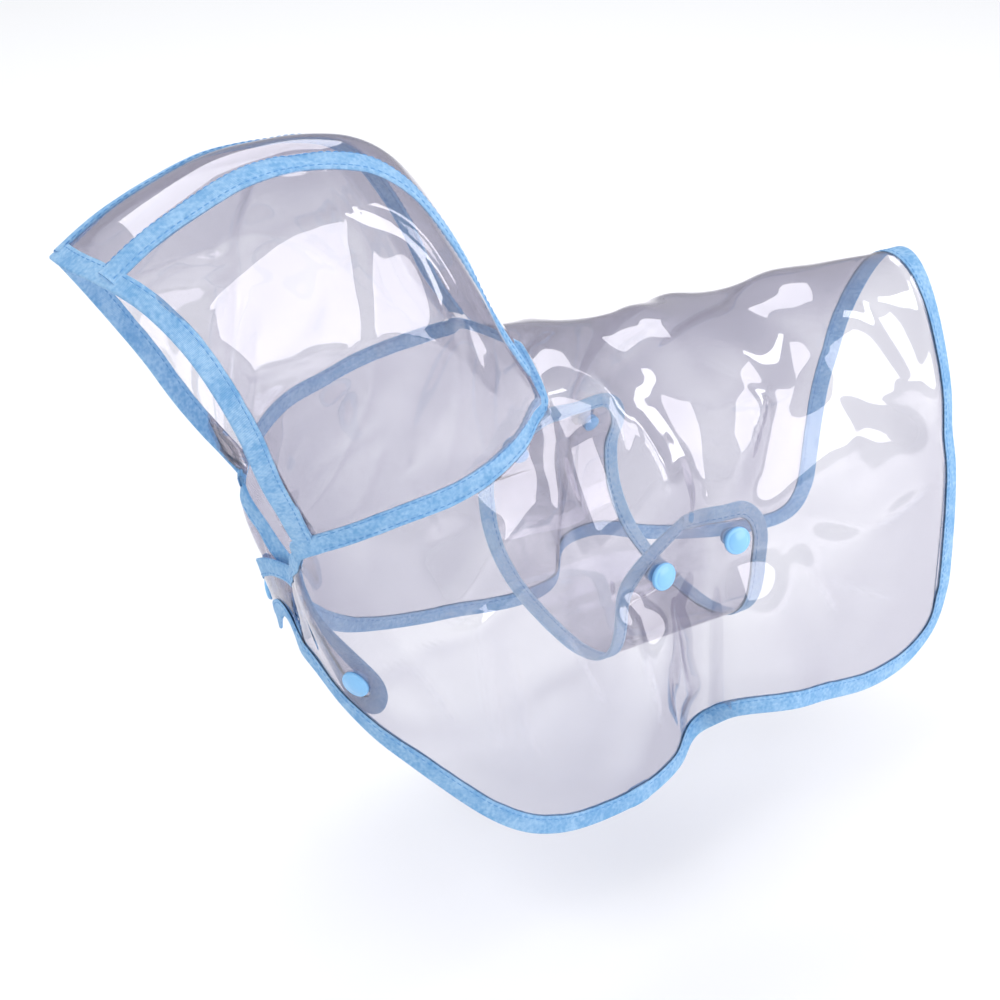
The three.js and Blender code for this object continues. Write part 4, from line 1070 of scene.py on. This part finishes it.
def coons(left, right, bottom, top):
    """Surface between four edge curves; u runs along bottom and top, v along left and right."""

    def surface(u, v):
        u, v = np.broadcast_arrays(np.asarray(u, float), np.asarray(v, float))
        a, b = u[..., None], v[..., None]
        point = bottom.at(u) * (1 - b) + top.at(u) * b + left.at(v) * (1 - a) + right.at(v) * a
        point = point - bottom.at(0.0) * (1 - a) * (1 - b) - bottom.at(1.0) * a * (1 - b)
        return point - top.at(0.0) * (1 - a) * b - top.at(1.0) * a * b

    return surface


def turned(point, weight):
    """Rotation of the hood about its pivot, R_z(yaw w) R_x(roll w)."""
    weight = np.broadcast_to(np.asarray(weight, float), point.shape[:-1])
    x, y, z = np.moveaxis(point - HOOD_PIVOT, -1, 0)
    roll, yaw = HOOD_ROLL * weight, HOOD_YAW * weight
    y, z = y * np.cos(roll) - z * np.sin(roll), y * np.sin(roll) + z * np.cos(roll)
    return points_of(x * np.cos(yaw) - y * np.sin(yaw), x * np.sin(yaw) + y * np.cos(yaw), z) + HOOD_PIVOT


def square_in(surface, u, v, in_u, in_v):
    """Unit vectors on a surface, square to its edge and pointing in."""
    u, v = np.broadcast_arrays(np.asarray(u, float), np.asarray(v, float))
    step = 0.03
    clip = lambda x: np.clip(x, 0, 1)
    inside = surface(clip(u + in_u * step), clip(v + in_v * step)) - surface(u, v)
    if in_u:
        edge = surface(u, clip(v + step)) - surface(u, clip(v - step))
    else:
        edge = surface(clip(u + step), v) - surface(clip(u - step), v)
    edge = unit(edge)
    return unit(inside - edge * np.sum(inside * edge, axis=-1, keepdims=True))


def slide_in(surface, u, v, in_u, in_v):
    """Step along the parameter lines that moves a panel's edge in by one unit, by two at most in a corner."""
    u, v = np.broadcast_arrays(np.asarray(u, float), np.asarray(v, float))
    along = unit(surface(u + in_u * 0.03, v + in_v * 0.03) - surface(u, v))
    return along / np.maximum(np.sum(along * square_in(surface, u, v, in_u, in_v), axis=-1, keepdims=True), 0.5)


# %% Folds of the hood


def hood_fold(side, u, v, creased):
    """Folds of a side panel: h [c exp(-1.3 d/w) + (1 - c) exp(-(d/w)^2)] for each line in (u, v).

    Only with its creases does it have all lines and crisp crests; without them c is 0.
    """
    height = np.zeros(u.shape)
    uv = points_of(u, v, 0)
    rows = list(zip(*HOOD_FOLDS.values()))
    for au, av, bu, bv, rise, width, crisp in rows if creased else rows[:LARGE_FOLDS]:
        d, _ = near_line(uv, np.array([au, av, 0]), np.array([bu, bv, 0]))
        c = crisp if creased else 0
        profile = c * np.exp(-1.3 * d / width) + (1 - c) * np.exp(-((d / width) ** 2))
        height += rise * (FAR_HOOD_SHARE if side == RIGHT else 1) * profile
    return height


def in_facet(u, v):
    """1 inside the facet, 0 outside, from the least signed distance to its sides."""
    start, end = HOOD_FACET, np.roll(HOOD_FACET, -1, axis=0)
    side = (end - start) / np.linalg.norm(end - start, axis=1, keepdims=True)
    inside = side[:, 0] * (v[..., None] - start[:, 1]) - side[:, 1] * (u[..., None] - start[:, 0])
    return smooth(0, FACET_EDGE, np.min(inside, axis=-1))


def facet_terms(point):
    """Terms of out = a + b x + c z + d x z, a sheet that is twisted but not bulged."""
    x, z = point[..., 0] / 100, point[..., 2] / 100
    return np.stack([np.ones_like(x), x, z, x * z], axis=-1)


def facet_fit(flat):
    """Least-squares sheet through the panel inside the facet."""
    u, v = (grid.ravel() for grid in np.meshgrid(np.linspace(0, 1, 60), np.linspace(0, 1, 60)))
    own = in_facet(u, v) > 0.5
    point = flat(u[own], v[own])
    swell = SIDE_SWELL * np.sin(np.pi * u[own]) * np.sin(np.pi * v[own])
    return np.linalg.lstsq(facet_terms(point), point[:, 1] + swell, rcond=None)[0]


# %% Sides and crown of the hood


def hood_foot(half):
    """The hood's foot: the neck seam moved up to the edge of its tape."""
    return half["neck"][0] + NECK_UP * (NECK_HALF + GAP)


def mirrored(side, points):
    """(x, out, z) as real points of that side, or back."""
    return points * np.array([1.0, side, 1])


FACE_CURVE = Curve(FACE_EDGE)


def crown_curve(half):
    """Seam of side and strip, from the neck to the brim."""
    return Curve([mirrored(half["side"], hood_foot(half)[NECK_FOOT]), *CROWN_SEAM])


def side_surface(half, creased=False):
    """Side panel as a function of (u, v), before the hood is turned."""
    side = half["side"]
    neck = Curve(mirrored(side, hood_foot(half)[NECK_FOOT:][::-1][::3]), 12)
    face = Curve(FACE_CURVE.at(np.linspace(THROAT_CUT, 1, 15)))
    throat = Curve([neck.at(0.0), (neck.at(0.0) + face.at(0.0)) / 2, face.at(0.0)])
    flat = coons(neck, face, throat, crown_curve(half))
    sheet = facet_fit(flat)

    def surface(u, v):
        u, v = np.broadcast_arrays(np.asarray(u, float), np.asarray(v, float))
        point = flat(u, v)
        middle = np.abs(np.sin(np.pi * u) * np.sin(np.pi * v))
        point[..., 1] += SIDE_SWELL * middle + hood_fold(side, u, v, creased) * np.sqrt(middle)
        if creased:
            bulge = np.clip(facet_terms(point) @ sheet - point[..., 1], -FACET_MOST, FACET_MOST)
            tight = in_facet(u, v)
            uneven = (1 - 0.8 * tight) * 0.35 * ripple(point * 1.4) * smooth(0, 0.25, middle)
            point[..., 1] += tight * bulge + uneven
        return mirrored(side, point)

    return surface


def crown_surface():
    """The strip over the crown as a function of (u, v): u from the nape to the brim, v from left to right."""
    seams = [Curve(mirrored(half["side"], crown_curve(half).at(np.linspace(0, 1, 23)))) for half in halves]
    left, right = (hood_foot(half)[:NECK_FOOT + 1] for half in halves)
    nape = Curve(np.vstack([left[::-1], right[1:]])[::2], 12)
    near, far = seams[0].at(1.0), seams[1].at(1.0)
    brim = Curve([near, (near + far) / 2 + np.array([-BRIM_FORWARD, 0, BRIM_FORWARD / 2]), far])
    flat = coons(nape, brim, *seams)

    def surface(u, v):
        u, v = np.broadcast_arrays(np.asarray(u, float), np.asarray(v, float))
        point = flat(u, v)
        away = unit((point - HOOD_MIDDLE) * np.array([1.0, 0, 1]))
        return point + away * (STRIP_RISE * np.sin(np.pi * v) * np.sin(np.pi * u))[..., None]

    return surface


# %% Film of the hood


def hood_grids(surface, plain, columns, rows, low, high, weight):
    """Grids of a hood panel: the panel between its tapes, and the strips of film inside them.

    low and high are how far the panel stops from v = 0 and v = 1, and plain is its surface without creases.
    """
    u, v = np.meshgrid(np.linspace(0, 1, columns + 1), np.linspace(0, 1, rows + 1), indexing="ij")
    line_u, line_v = u[:, 0], v[0]
    off_throat = 1 if low else smooth(0.04, 0.3, line_v)[:, None]
    square = square_in(plain, 1.0, line_v, -1, 0)
    face_in = slide_in(plain, 1.0, line_v, -1, 0) * (1 - off_throat) + square * off_throat
    point = surface(u, v) + face_in[None] * MARGIN * u[..., None] ** FADE
    if low:
        point = point + (slide_in(plain, line_u, 0.0, 0, 1) * low)[:, None] * (1 - v[..., None]) ** FADE
    point = point + (slide_in(plain, line_u, 1.0, 0, -1) * high)[:, None] * v[..., None] ** FADE
    panel = turned(point, weight(u, v))

    def toward_seam(place, column, shares):
        """Strip of film from one side of the panel part of the way to its seam."""
        seam = turned(plain(line_u, place), weight(line_u, place))
        return np.stack([panel[:, column] * (1 - s) + seam * s for s in shares], axis=1)

    start, end = panel[-1], turned(plain(1.0, line_v) + square * 1.2, weight(1.0, line_v))
    grids = [panel, np.stack([start * (1 - s) + end * s for s in (0, 0.5, 1)])]
    grids.append(toward_seam(1.0, -1, (0, 0.2, 0.4)))
    if low:
        grids.append(toward_seam(0.0, 0, (0.4, 0.2, 0)))
    foot = panel[0] - NECK_UP * 1.6
    return [*grids, np.stack([foot, (foot + panel[0]) / 2, panel[0]])]


# %% Hood panels
plain_sides = [side_surface(half) for half in halves]
crown = crown_surface()
hood_sides = []
for half, plain, side_name in zip(halves, plain_sides, ("left", "right")):
    creased = side_surface(half, creased=True)
    grids = hood_grids(creased, plain, 84, 76, 0, CROWN_OVER_SIDE + 2 * GAP, lambda u, v: u * v)
    panel = film_panel(f"hood_side_film_{side_name}", facing_out(half, grids))
    hood_sides.append(outward(panel, (0, 0, 20)))
crown_margin = CROWN_OVER_STRIP + GAP
crown_grids = hood_grids(crown, crown, 120, 18, crown_margin, crown_margin, lambda u, v: u * np.ones_like(v))
hood_crown = outward(film_panel("hood_crown_film", crown_grids), (0, 0, 20))
print("hood film:", [len(panel.data.vertices) for panel in (*hood_sides, hood_crown)], "points")

# %% [markdown]
# ## Tapes on the hood
# The opening gets the same folded binding as the hem, in one length round the face. It has to end neatly
# between two other tapes at the throat, so there its line leaves the hood's edge for the end of the neck
# seam, and its width turns from along that seam to square to the edge. The crown seams get flat bands.

# %% Tape round the face opening
FACE_PLACES = np.linspace(0.005, 0.985, 94)
THROAT_PULL = 0.16  # share of the edge over which the tape is drawn to the seam's end
TURN_FROM, TURN_TO = 0.02, 0.24  # shares between which its width turns
LOWEST_V = 0.14  # below this the panel's corner is too narrow to be square to


def face_side(half, plain):
    """Points of one side's edge and the directions into its film, from the throat to the crown."""
    v = np.maximum((FACE_PLACES - THROAT_CUT) / (1 - THROAT_CUT), 0)
    seam = half["neck"][0]
    pull = 1 - smooth(0.0, THROAT_PULL, FACE_PLACES)[:, None]
    edge = mirrored(half["side"], FACE_CURVE.at(FACE_PLACES))
    edge = edge + (seam[-1] - mirrored(half["side"], FACE_CURVE.at(0.0))) * pull
    turn_in = smooth(TURN_FROM, TURN_TO, FACE_PLACES)[:, None]
    square = square_in(plain, 1.0, np.maximum(v, LOWEST_V), -1, 0)
    inward = unit(unit(seam[-5] - seam[-1]) * (1 - turn_in) + square * turn_in)
    start = turned(edge, v)
    return facing_out(half, (start, unit(turned(edge + inward, v) - start)))


sides = [face_side(half, plain) for half, plain in zip(halves, plain_sides)]
brim_v = np.linspace(0.04, 0.96, 22)
brim_in = square_in(crown, 1.0, brim_v, -1, 0)
brim_start = turned(crown(1.0, brim_v), 1.0)
brim_vector = unit(turned(crown(1.0, brim_v) + brim_in, 1.0) - brim_start)
face_line = np.vstack([sides[0][0], brim_start, sides[1][0]])
face_in = np.vstack([sides[0][1], brim_vector, sides[1][1]])
face_out = unit(np.cross(np.gradient(face_line, axis=0), face_in))
if np.sum(face_out * (face_line - HOOD_MIDDLE)) < 0:
    face_out = -face_out
face_tape, face_fair = binding("hood_face_binding", (face_line, face_out, face_in), HEM_WIDTH, 23)
face_stitches = sewn("hood_face_stitching", face_fair, HEM_WIDTH)
print("face tape, mm:", round(run_of(face_line)[-1]))

# %% Tapes over the crown seams
crown_tapes, crown_stitches = [], []
seam_places = np.linspace(0.012, 0.985, 112)
for plain, v, inside, side_name in zip(plain_sides, (0.0, 1.0), (1, -1), ("left", "right")):
    seam = plain(seam_places, 1.0)
    over_strip = square_in(crown, seam_places, v, 0, inside)
    over_side = square_in(plain, seam_places, 1.0, 0, -1)
    raised = seam - unit(over_strip + over_side) * CROWN_LIFT
    three = [seam + over_strip * CROWN_OVER_STRIP, raised, seam + over_side * CROWN_OVER_SIDE]
    three = evenly_spaced([turned(line, seam_places) for line in three])
    made, lines = seam_band(f"crown_binding_{side_name}", *three, HOOD_MIDDLE, 31 + inside)
    crown_tapes.append(made)
    crown_stitches.append(stitches(f"crown_stitching_{side_name}", lines))
    print("crown tape, mm:", round(run_of(three[1])[-1]))

# %% [markdown]
# ## The belly strap
# A short sling of the same film, bound all round, that hangs between the flanks. Its rounded ends lie flat
# on the inner side of the cape, where the snaps hold them, so they are worked out from the cape's own form
# at an even depth.

# %% Belly strap
STRAP_MIDDLE_X, STRAP_HALF_WIDTH, STRAP_RISE = 42, 38, 33  # place, half its width, and an end's height
STRAP_LEAN = 0.4  # mm toward the tail for each mm that an end rises
STRAP_INSIDE = 5.6  # how far inside the cape the ends lie
STRAP_WIDTH = 7.2  # of its binding
STRAP_PATH = [[0, 61, -98], [0, 61, -110], [0, 57, -124], [0, 45, -137], [0, 25, -145], [0, 0, -147]]


def flank_point(side, x, z):
    """Place on the inside of a flank that has a given x and z."""
    x, z = np.broadcast_arrays(np.asarray(x, float), np.asarray(z, float))
    share = np.full(x.shape, 0.5)
    for _ in range(3):
        section = solve(SHOULDER, TAIL, lambda s: cut_point(s, share)[..., 0], x)
        share = solve(0, 1, lambda s: -cut_point(section, s)[..., 2], -z)
    return cape_point(side, section, share, -STRAP_INSIDE)[0]


def strap_grid(columns=34, end_rows=14, sling_rows=40):
    """Rows of points from one rounded end, under the belly, to the other."""
    across = np.linspace(-1, 1, columns + 1)
    path = Curve(STRAP_PATH)
    turn = np.linspace(0.26, 1, end_rows + 1)[:, None] * np.pi / 2
    rise, wide = STRAP_RISE * np.cos(turn), STRAP_HALF_WIDTH * np.sin(turn)
    sides = []
    for side in (LEFT, RIGHT):
        ends = flank_point(side, STRAP_MIDDLE_X + STRAP_LEAN * rise + wide * across, STRAP_PATH[0][2] + rise)
        share = np.linspace(0, 1, sling_rows + 1)[1:]
        place = path.at(share)
        fade = (1 - smooth(0.1, 0.5, share))[:, None]
        out = place[:, 1:2] + (np.abs(ends[-1][None, :, 1]) - STRAP_PATH[0][1]) * fade
        sling = points_of(np.broadcast_to(ends[-1][None, :, 0], out.shape), side * out, place[:, 2:3])
        sides.append(np.vstack([ends, sling]))
    return np.vstack([sides[0], sides[1][::-1][1:]])


strap = strap_grid()
strap_normal = unit(np.cross(np.gradient(strap, axis=0), np.gradient(strap, axis=1)))


def outline_of(grid):
    """The four sides of a grid as one closed loop that ends where it starts."""
    return np.vstack([grid[0, :-1], grid[:-1, -1], grid[-1, 1:][::-1], grid[1:, 0][::-1], grid[:1, 0]])


# The loop's directions into the film, side by side: first end, one side, the other end and the other side
strap_loop, strap_loop_normal = outline_of(strap), outline_of(strap_normal)
strap_in = facing_in(strap_loop, strap_loop_normal, -1, strap_loop[-2], strap_loop[1])
rows, columns = strap.shape[:2]
corners = np.cumsum([0, columns - 1, rows - 1, columns - 1])
first_in, right_in = strap_in[:columns], strap_in[corners[1]:corners[2] + 1]
last_in, left_in = strap_in[corners[2]:corners[3] + 1][::-1], strap_in[corners[3]:][::-1]
margin = STRAP_WIDTH + GAP
ramp = np.linspace(0, 1, columns)[None, :, None]
strap_film = strap + (left_in[:, None] * (1 - ramp) + right_in[:, None] * ramp) * margin
strap_film[0], strap_film[-1] = strap[0] + first_in * margin, strap[-1] + last_in * margin
strap_strip = strip_inside(strap_loop, strap_in, [margin, 3.8, 1.0])
belly_strap = film_panel("belly_strap_film", [strap_film, strap_strip])
strap_edge = strap_loop, strap_loop_normal, strap_in
strap_tape, strap_fair = binding("belly_strap_binding", strap_edge, STRAP_WIDTH, 41)
# The strap's tape gets the paler copy of the tape: painted light
strap_tape.data.materials[0] = STRAP_TAPE_PAINTED_LIGHTER
strap_stitches = sewn("belly_strap_stitching", strap_fair, STRAP_WIDTH)
print("strap tape, mm:", round(run_of(strap_loop)[-1]))

# %% [markdown]
# ## Press snaps
# A plastic snap has a domed cap outside, a socket and a stud that grip each other between the layers, and a
# flat cap inside with the head of its post. Each is turned from its outline, like the moulded parts.

# %% Snaps
SNAPS = table("section share depth", [
    [10.5, 0.44, STRAP_INSIDE],
    [13.2, 0.45, STRAP_INSIDE],
    [2.5, 0.745, 2 * LAYER],
])
SNAP_NAMES = ("flank_front", "flank_rear", "chest")
SIDE_NAMES = {LEFT: "left", RIGHT: "right"}
CAP_RADIUS, CAP_HEIGHT = 6.2, 3.0
BACK_RADIUS, BACK_HEIGHT = 4.0, 2.0
SNAP_CLEAR = 0.28  # from the film's middle to what lies on it
LATHE_SIDES = 48


def lathe(name, outline, place, normal):
    """Solid turned about normal from an outline of (radius, height) pairs that starts and ends on it."""
    outline = np.array(outline, float)
    angle = np.linspace(0, 2 * np.pi, LATHE_SIDES, endpoint=False)
    helper = np.array([1.0, 0, 0]) if abs(normal[0]) < 0.8 else np.array([0.0, 1, 0])
    a = unit(np.cross(normal, helper))
    ring = a * np.cos(angle)[:, None] + np.cross(normal, a) * np.sin(angle)[:, None]
    inner = outline[1:-1]
    grid = place + inner[:, None, :1] * ring[None] + inner[:, None, 1:] * normal
    points = np.vstack([grid.reshape(-1, 3), place + outline[0, 1] * normal, place + outline[-1, 1] * normal])
    first, last = len(points) - 2, len(points) - 1
    here = np.arange(LATHE_SIDES)
    after = (here + 1) % LATHE_SIDES
    top = (len(inner) - 1) * LATHE_SIDES
    return new_object(name, points, [
        quads(len(inner), LATHE_SIDES, closed=True)[:, ::-1],
        np.stack([np.full(LATHE_SIDES, first), after, here], 1),
        np.stack([np.full(LATHE_SIDES, last), top + here, top + after], 1),
    ], SNAP)


def domed(radius, height):
    """Outline of a cap: a short straight rim, a rounded shoulder, and a shallow dome with a ring round it."""
    t = np.radians(np.linspace(0, 90, 7))
    shoulder = [[radius - 0.7 + 0.7 * math.cos(a), height * 0.3 + height * 0.32 * math.sin(a)] for a in t]
    ring = [[radius * 0.80, height * 0.64], [radius * 0.76, height * 0.66]]
    dome = [[x, height * (1 - 0.28 * (x / radius / 0.72) ** 2)] for x in np.linspace(0.72, 0.05, 8) * radius]
    return [[0, 0], [radius * 0.96, 0], [radius, height * 0.12], *shoulder, *ring, *dome, [0, height]]


def pressed(radius, height):
    """Outline of the joined socket and stud: two flanges with a waist between them."""
    shares = [
        [0, 0], [0.96, 0], [1, 0.12], [1, 0.3], [0.82, 0.42], [0.78, 0.5],
        [0.82, 0.58], [1, 0.7], [1, 0.88], [0.96, 1], [0, 1],
    ]
    return [[radius * r, height * h] for r, h in shares]


def snap(side, name, section, share, depth):
    """The three pieces of one snap, on the film at a section and a share of it, by their solids' names."""
    place, normal = cape_point(side, section, share, abs(float(layer_at(side, section))))
    label = f"{SIDE_NAMES[side]}_{name}"
    gap = depth - 2 * SNAP_CLEAR
    cap = lathe(f"cap_{label}", domed(CAP_RADIUS, CAP_HEIGHT), place + normal * SNAP_CLEAR, normal)
    press = lathe(f"press_{label}", pressed(BACK_RADIUS, gap), place - normal * SNAP_CLEAR, -normal)
    back_place = place - normal * (depth + SNAP_CLEAR)
    back = lathe(f"back_{label}", domed(BACK_RADIUS, BACK_HEIGHT), back_place, -normal)
    return {f"snap_cap_{label}": cap, f"snap_press_{label}": press, f"snap_back_{label}": back}


snaps = {}
for side in (LEFT, RIGHT):
    for name, row in zip(SNAP_NAMES, zip(*SNAPS.values())):
        snaps.update(snap(side, name, *row))
print("snap pieces:", len(snaps))

# %% [markdown]
# ## What stands for what
# Each visible piece stands for its solid and moves with it.

# %% Bodies


def stands_for(piece, slot, *nodes):
    """Puts a piece in the coat's one body, in the place of its solid, whose parts it hides; slot is not used.
    """
    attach(piece, "root")
    if nodes:
        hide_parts(*nodes)


for piece, slot, solid in (
    (cape, "film", "cape"),
    (hem_tape, "tape", "hem_tape"),
    (neck_tape, "tape", "neck_tape"),
    (hood_sides[0], "film", "hood_side_left"),
    (hood_sides[1], "film", "hood_side_right"),
    (hood_crown, "film", "hood_crown"),
    (face_tape, "tape", "hood_face_tape"),
    (crown_tapes[0], "tape", "crown_tape_left"),
    (crown_tapes[1], "tape", "crown_tape_right"),
    (belly_strap, "film", "belly_strap"),
    (strap_tape, "tape", "belly_strap_tape"),
):
    stands_for(piece, slot, solid)
for piece in (hem_stitches, neck_stitches, face_stitches, *crown_stitches, strap_stitches):
    stands_for(piece, "tape")
for solid, piece in snaps.items():
    stands_for(piece, "snap", solid)


def cut_of(area=None):
    """Turns an area in mm2 into m2, and does nothing more with it."""
    area = area and area * MM * MM


cut_of(area=132000)
cut_of(18800)
cut_of(18600)
cut_of(8300)
cut_of(17250)
cut_of()
cut_of()
cut_of()
cut_of()
for tape, sewing, side in zip(crown_tapes, crown_stitches, hood_sides):
    cut_of()

# %% [markdown]
# ## Studio
# Clear film shows little but what it mirrors, so the look is in the lights. Large soft rectangles give the
# broad, sharp-edged reflections of film, where small lamps would give dots and an even sky a grey haze. A
# pale world fills the shadows, and the floor is plain paper.

# %% Camera
TARGET = np.array([-20.0, 0, -72]) * MM
AZIMUTH, ELEVATION, DISTANCE = -30, 32, 0.95
LENS, SENSOR = 79.2, 36


def looking_from(azimuth, elevation):
    """Axes of what looks at the coat: right, up, and back toward itself."""
    a, e = math.radians(azimuth), math.radians(elevation)
    back = np.array([math.sin(a) * math.cos(e), -math.cos(a) * math.cos(e), math.sin(e)])
    right = np.array([math.cos(a), math.sin(a), 0])
    return right, np.cross(back, right), back


def aimed(name, data, azimuth, elevation, distance):
    """A camera or light at a distance from the coat, looking at it."""
    axes = looking_from(azimuth, elevation)
    made = bpy.data.objects.new(name, data)
    bpy.context.scene.collection.objects.link(made)
    matrix = np.eye(4)
    matrix[:3, :3] = np.stack(axes, axis=1)
    matrix[:3, 3] = TARGET + axes[2] * distance
    made.matrix_world = Matrix(matrix.tolist())
    return made


camera_data = bpy.data.cameras.new("camera")
camera_data.lens, camera_data.sensor_width = LENS, SENSOR
camera_data.clip_start, camera_data.clip_end = 0.01, 20
camera = aimed("camera", camera_data, AZIMUTH, ELEVATION, DISTANCE)
bpy.context.scene.camera = camera
print("camera at, m:", [round(value, 3) for value in camera.matrix_world.translation])

# %% Lights
SOFTBOXES = {  # azimuth, elevation, distance, width, height, watts and colour
    "window": (36, 17, 1.5, 1.25, 0.95, 12, (1.0, 0.975, 0.98)),
    "strip": (78, 24, 1.7, 0.25, 1.3, 5, (1, 1, 1)),
    "key": (-80, 46, 1.6, 0.9, 0.7, 8, (1, 1, 1)),
    "overhead": (165, 52, 1.6, 1.5, 0.8, 11, (1, 1, 1)),
}
for name, (azimuth, elevation, distance, width, height, watts, colour) in SOFTBOXES.items():
    data = bpy.data.lights.new(name, "AREA")
    data.shape, data.size, data.size_y = "RECTANGLE", width, height
    data.energy, data.color = watts, colour
    aimed(name, data, azimuth, elevation, distance)
print("softboxes:", *SOFTBOXES)

world = bpy.data.worlds.new("studio")
world.use_nodes = True
sky = world.node_tree.nodes["Background"].inputs
sky["Color"].default_value, sky["Strength"].default_value = (0.93, 0.94, 0.97, 1), 0.6
bpy.context.scene.world = world
bpy.context.scene.view_settings.view_transform = "Standard"

# %% Floor
FLOOR_Z, FLOOR_REACH = -255.0, 5000
ends = np.linspace(-FLOOR_REACH, FLOOR_REACH, 3)
floor_grid = points_of(ends[:, None], ends[None, :], FLOOR_Z)
PAPER = grained("paper", (0.93, 0.935, 0.945), 0.8, 400.0, 0.03, 0.0005)
floor = new_object("floor", floor_grid.reshape(-1, 3), [quads(3, 3)], PAPER)
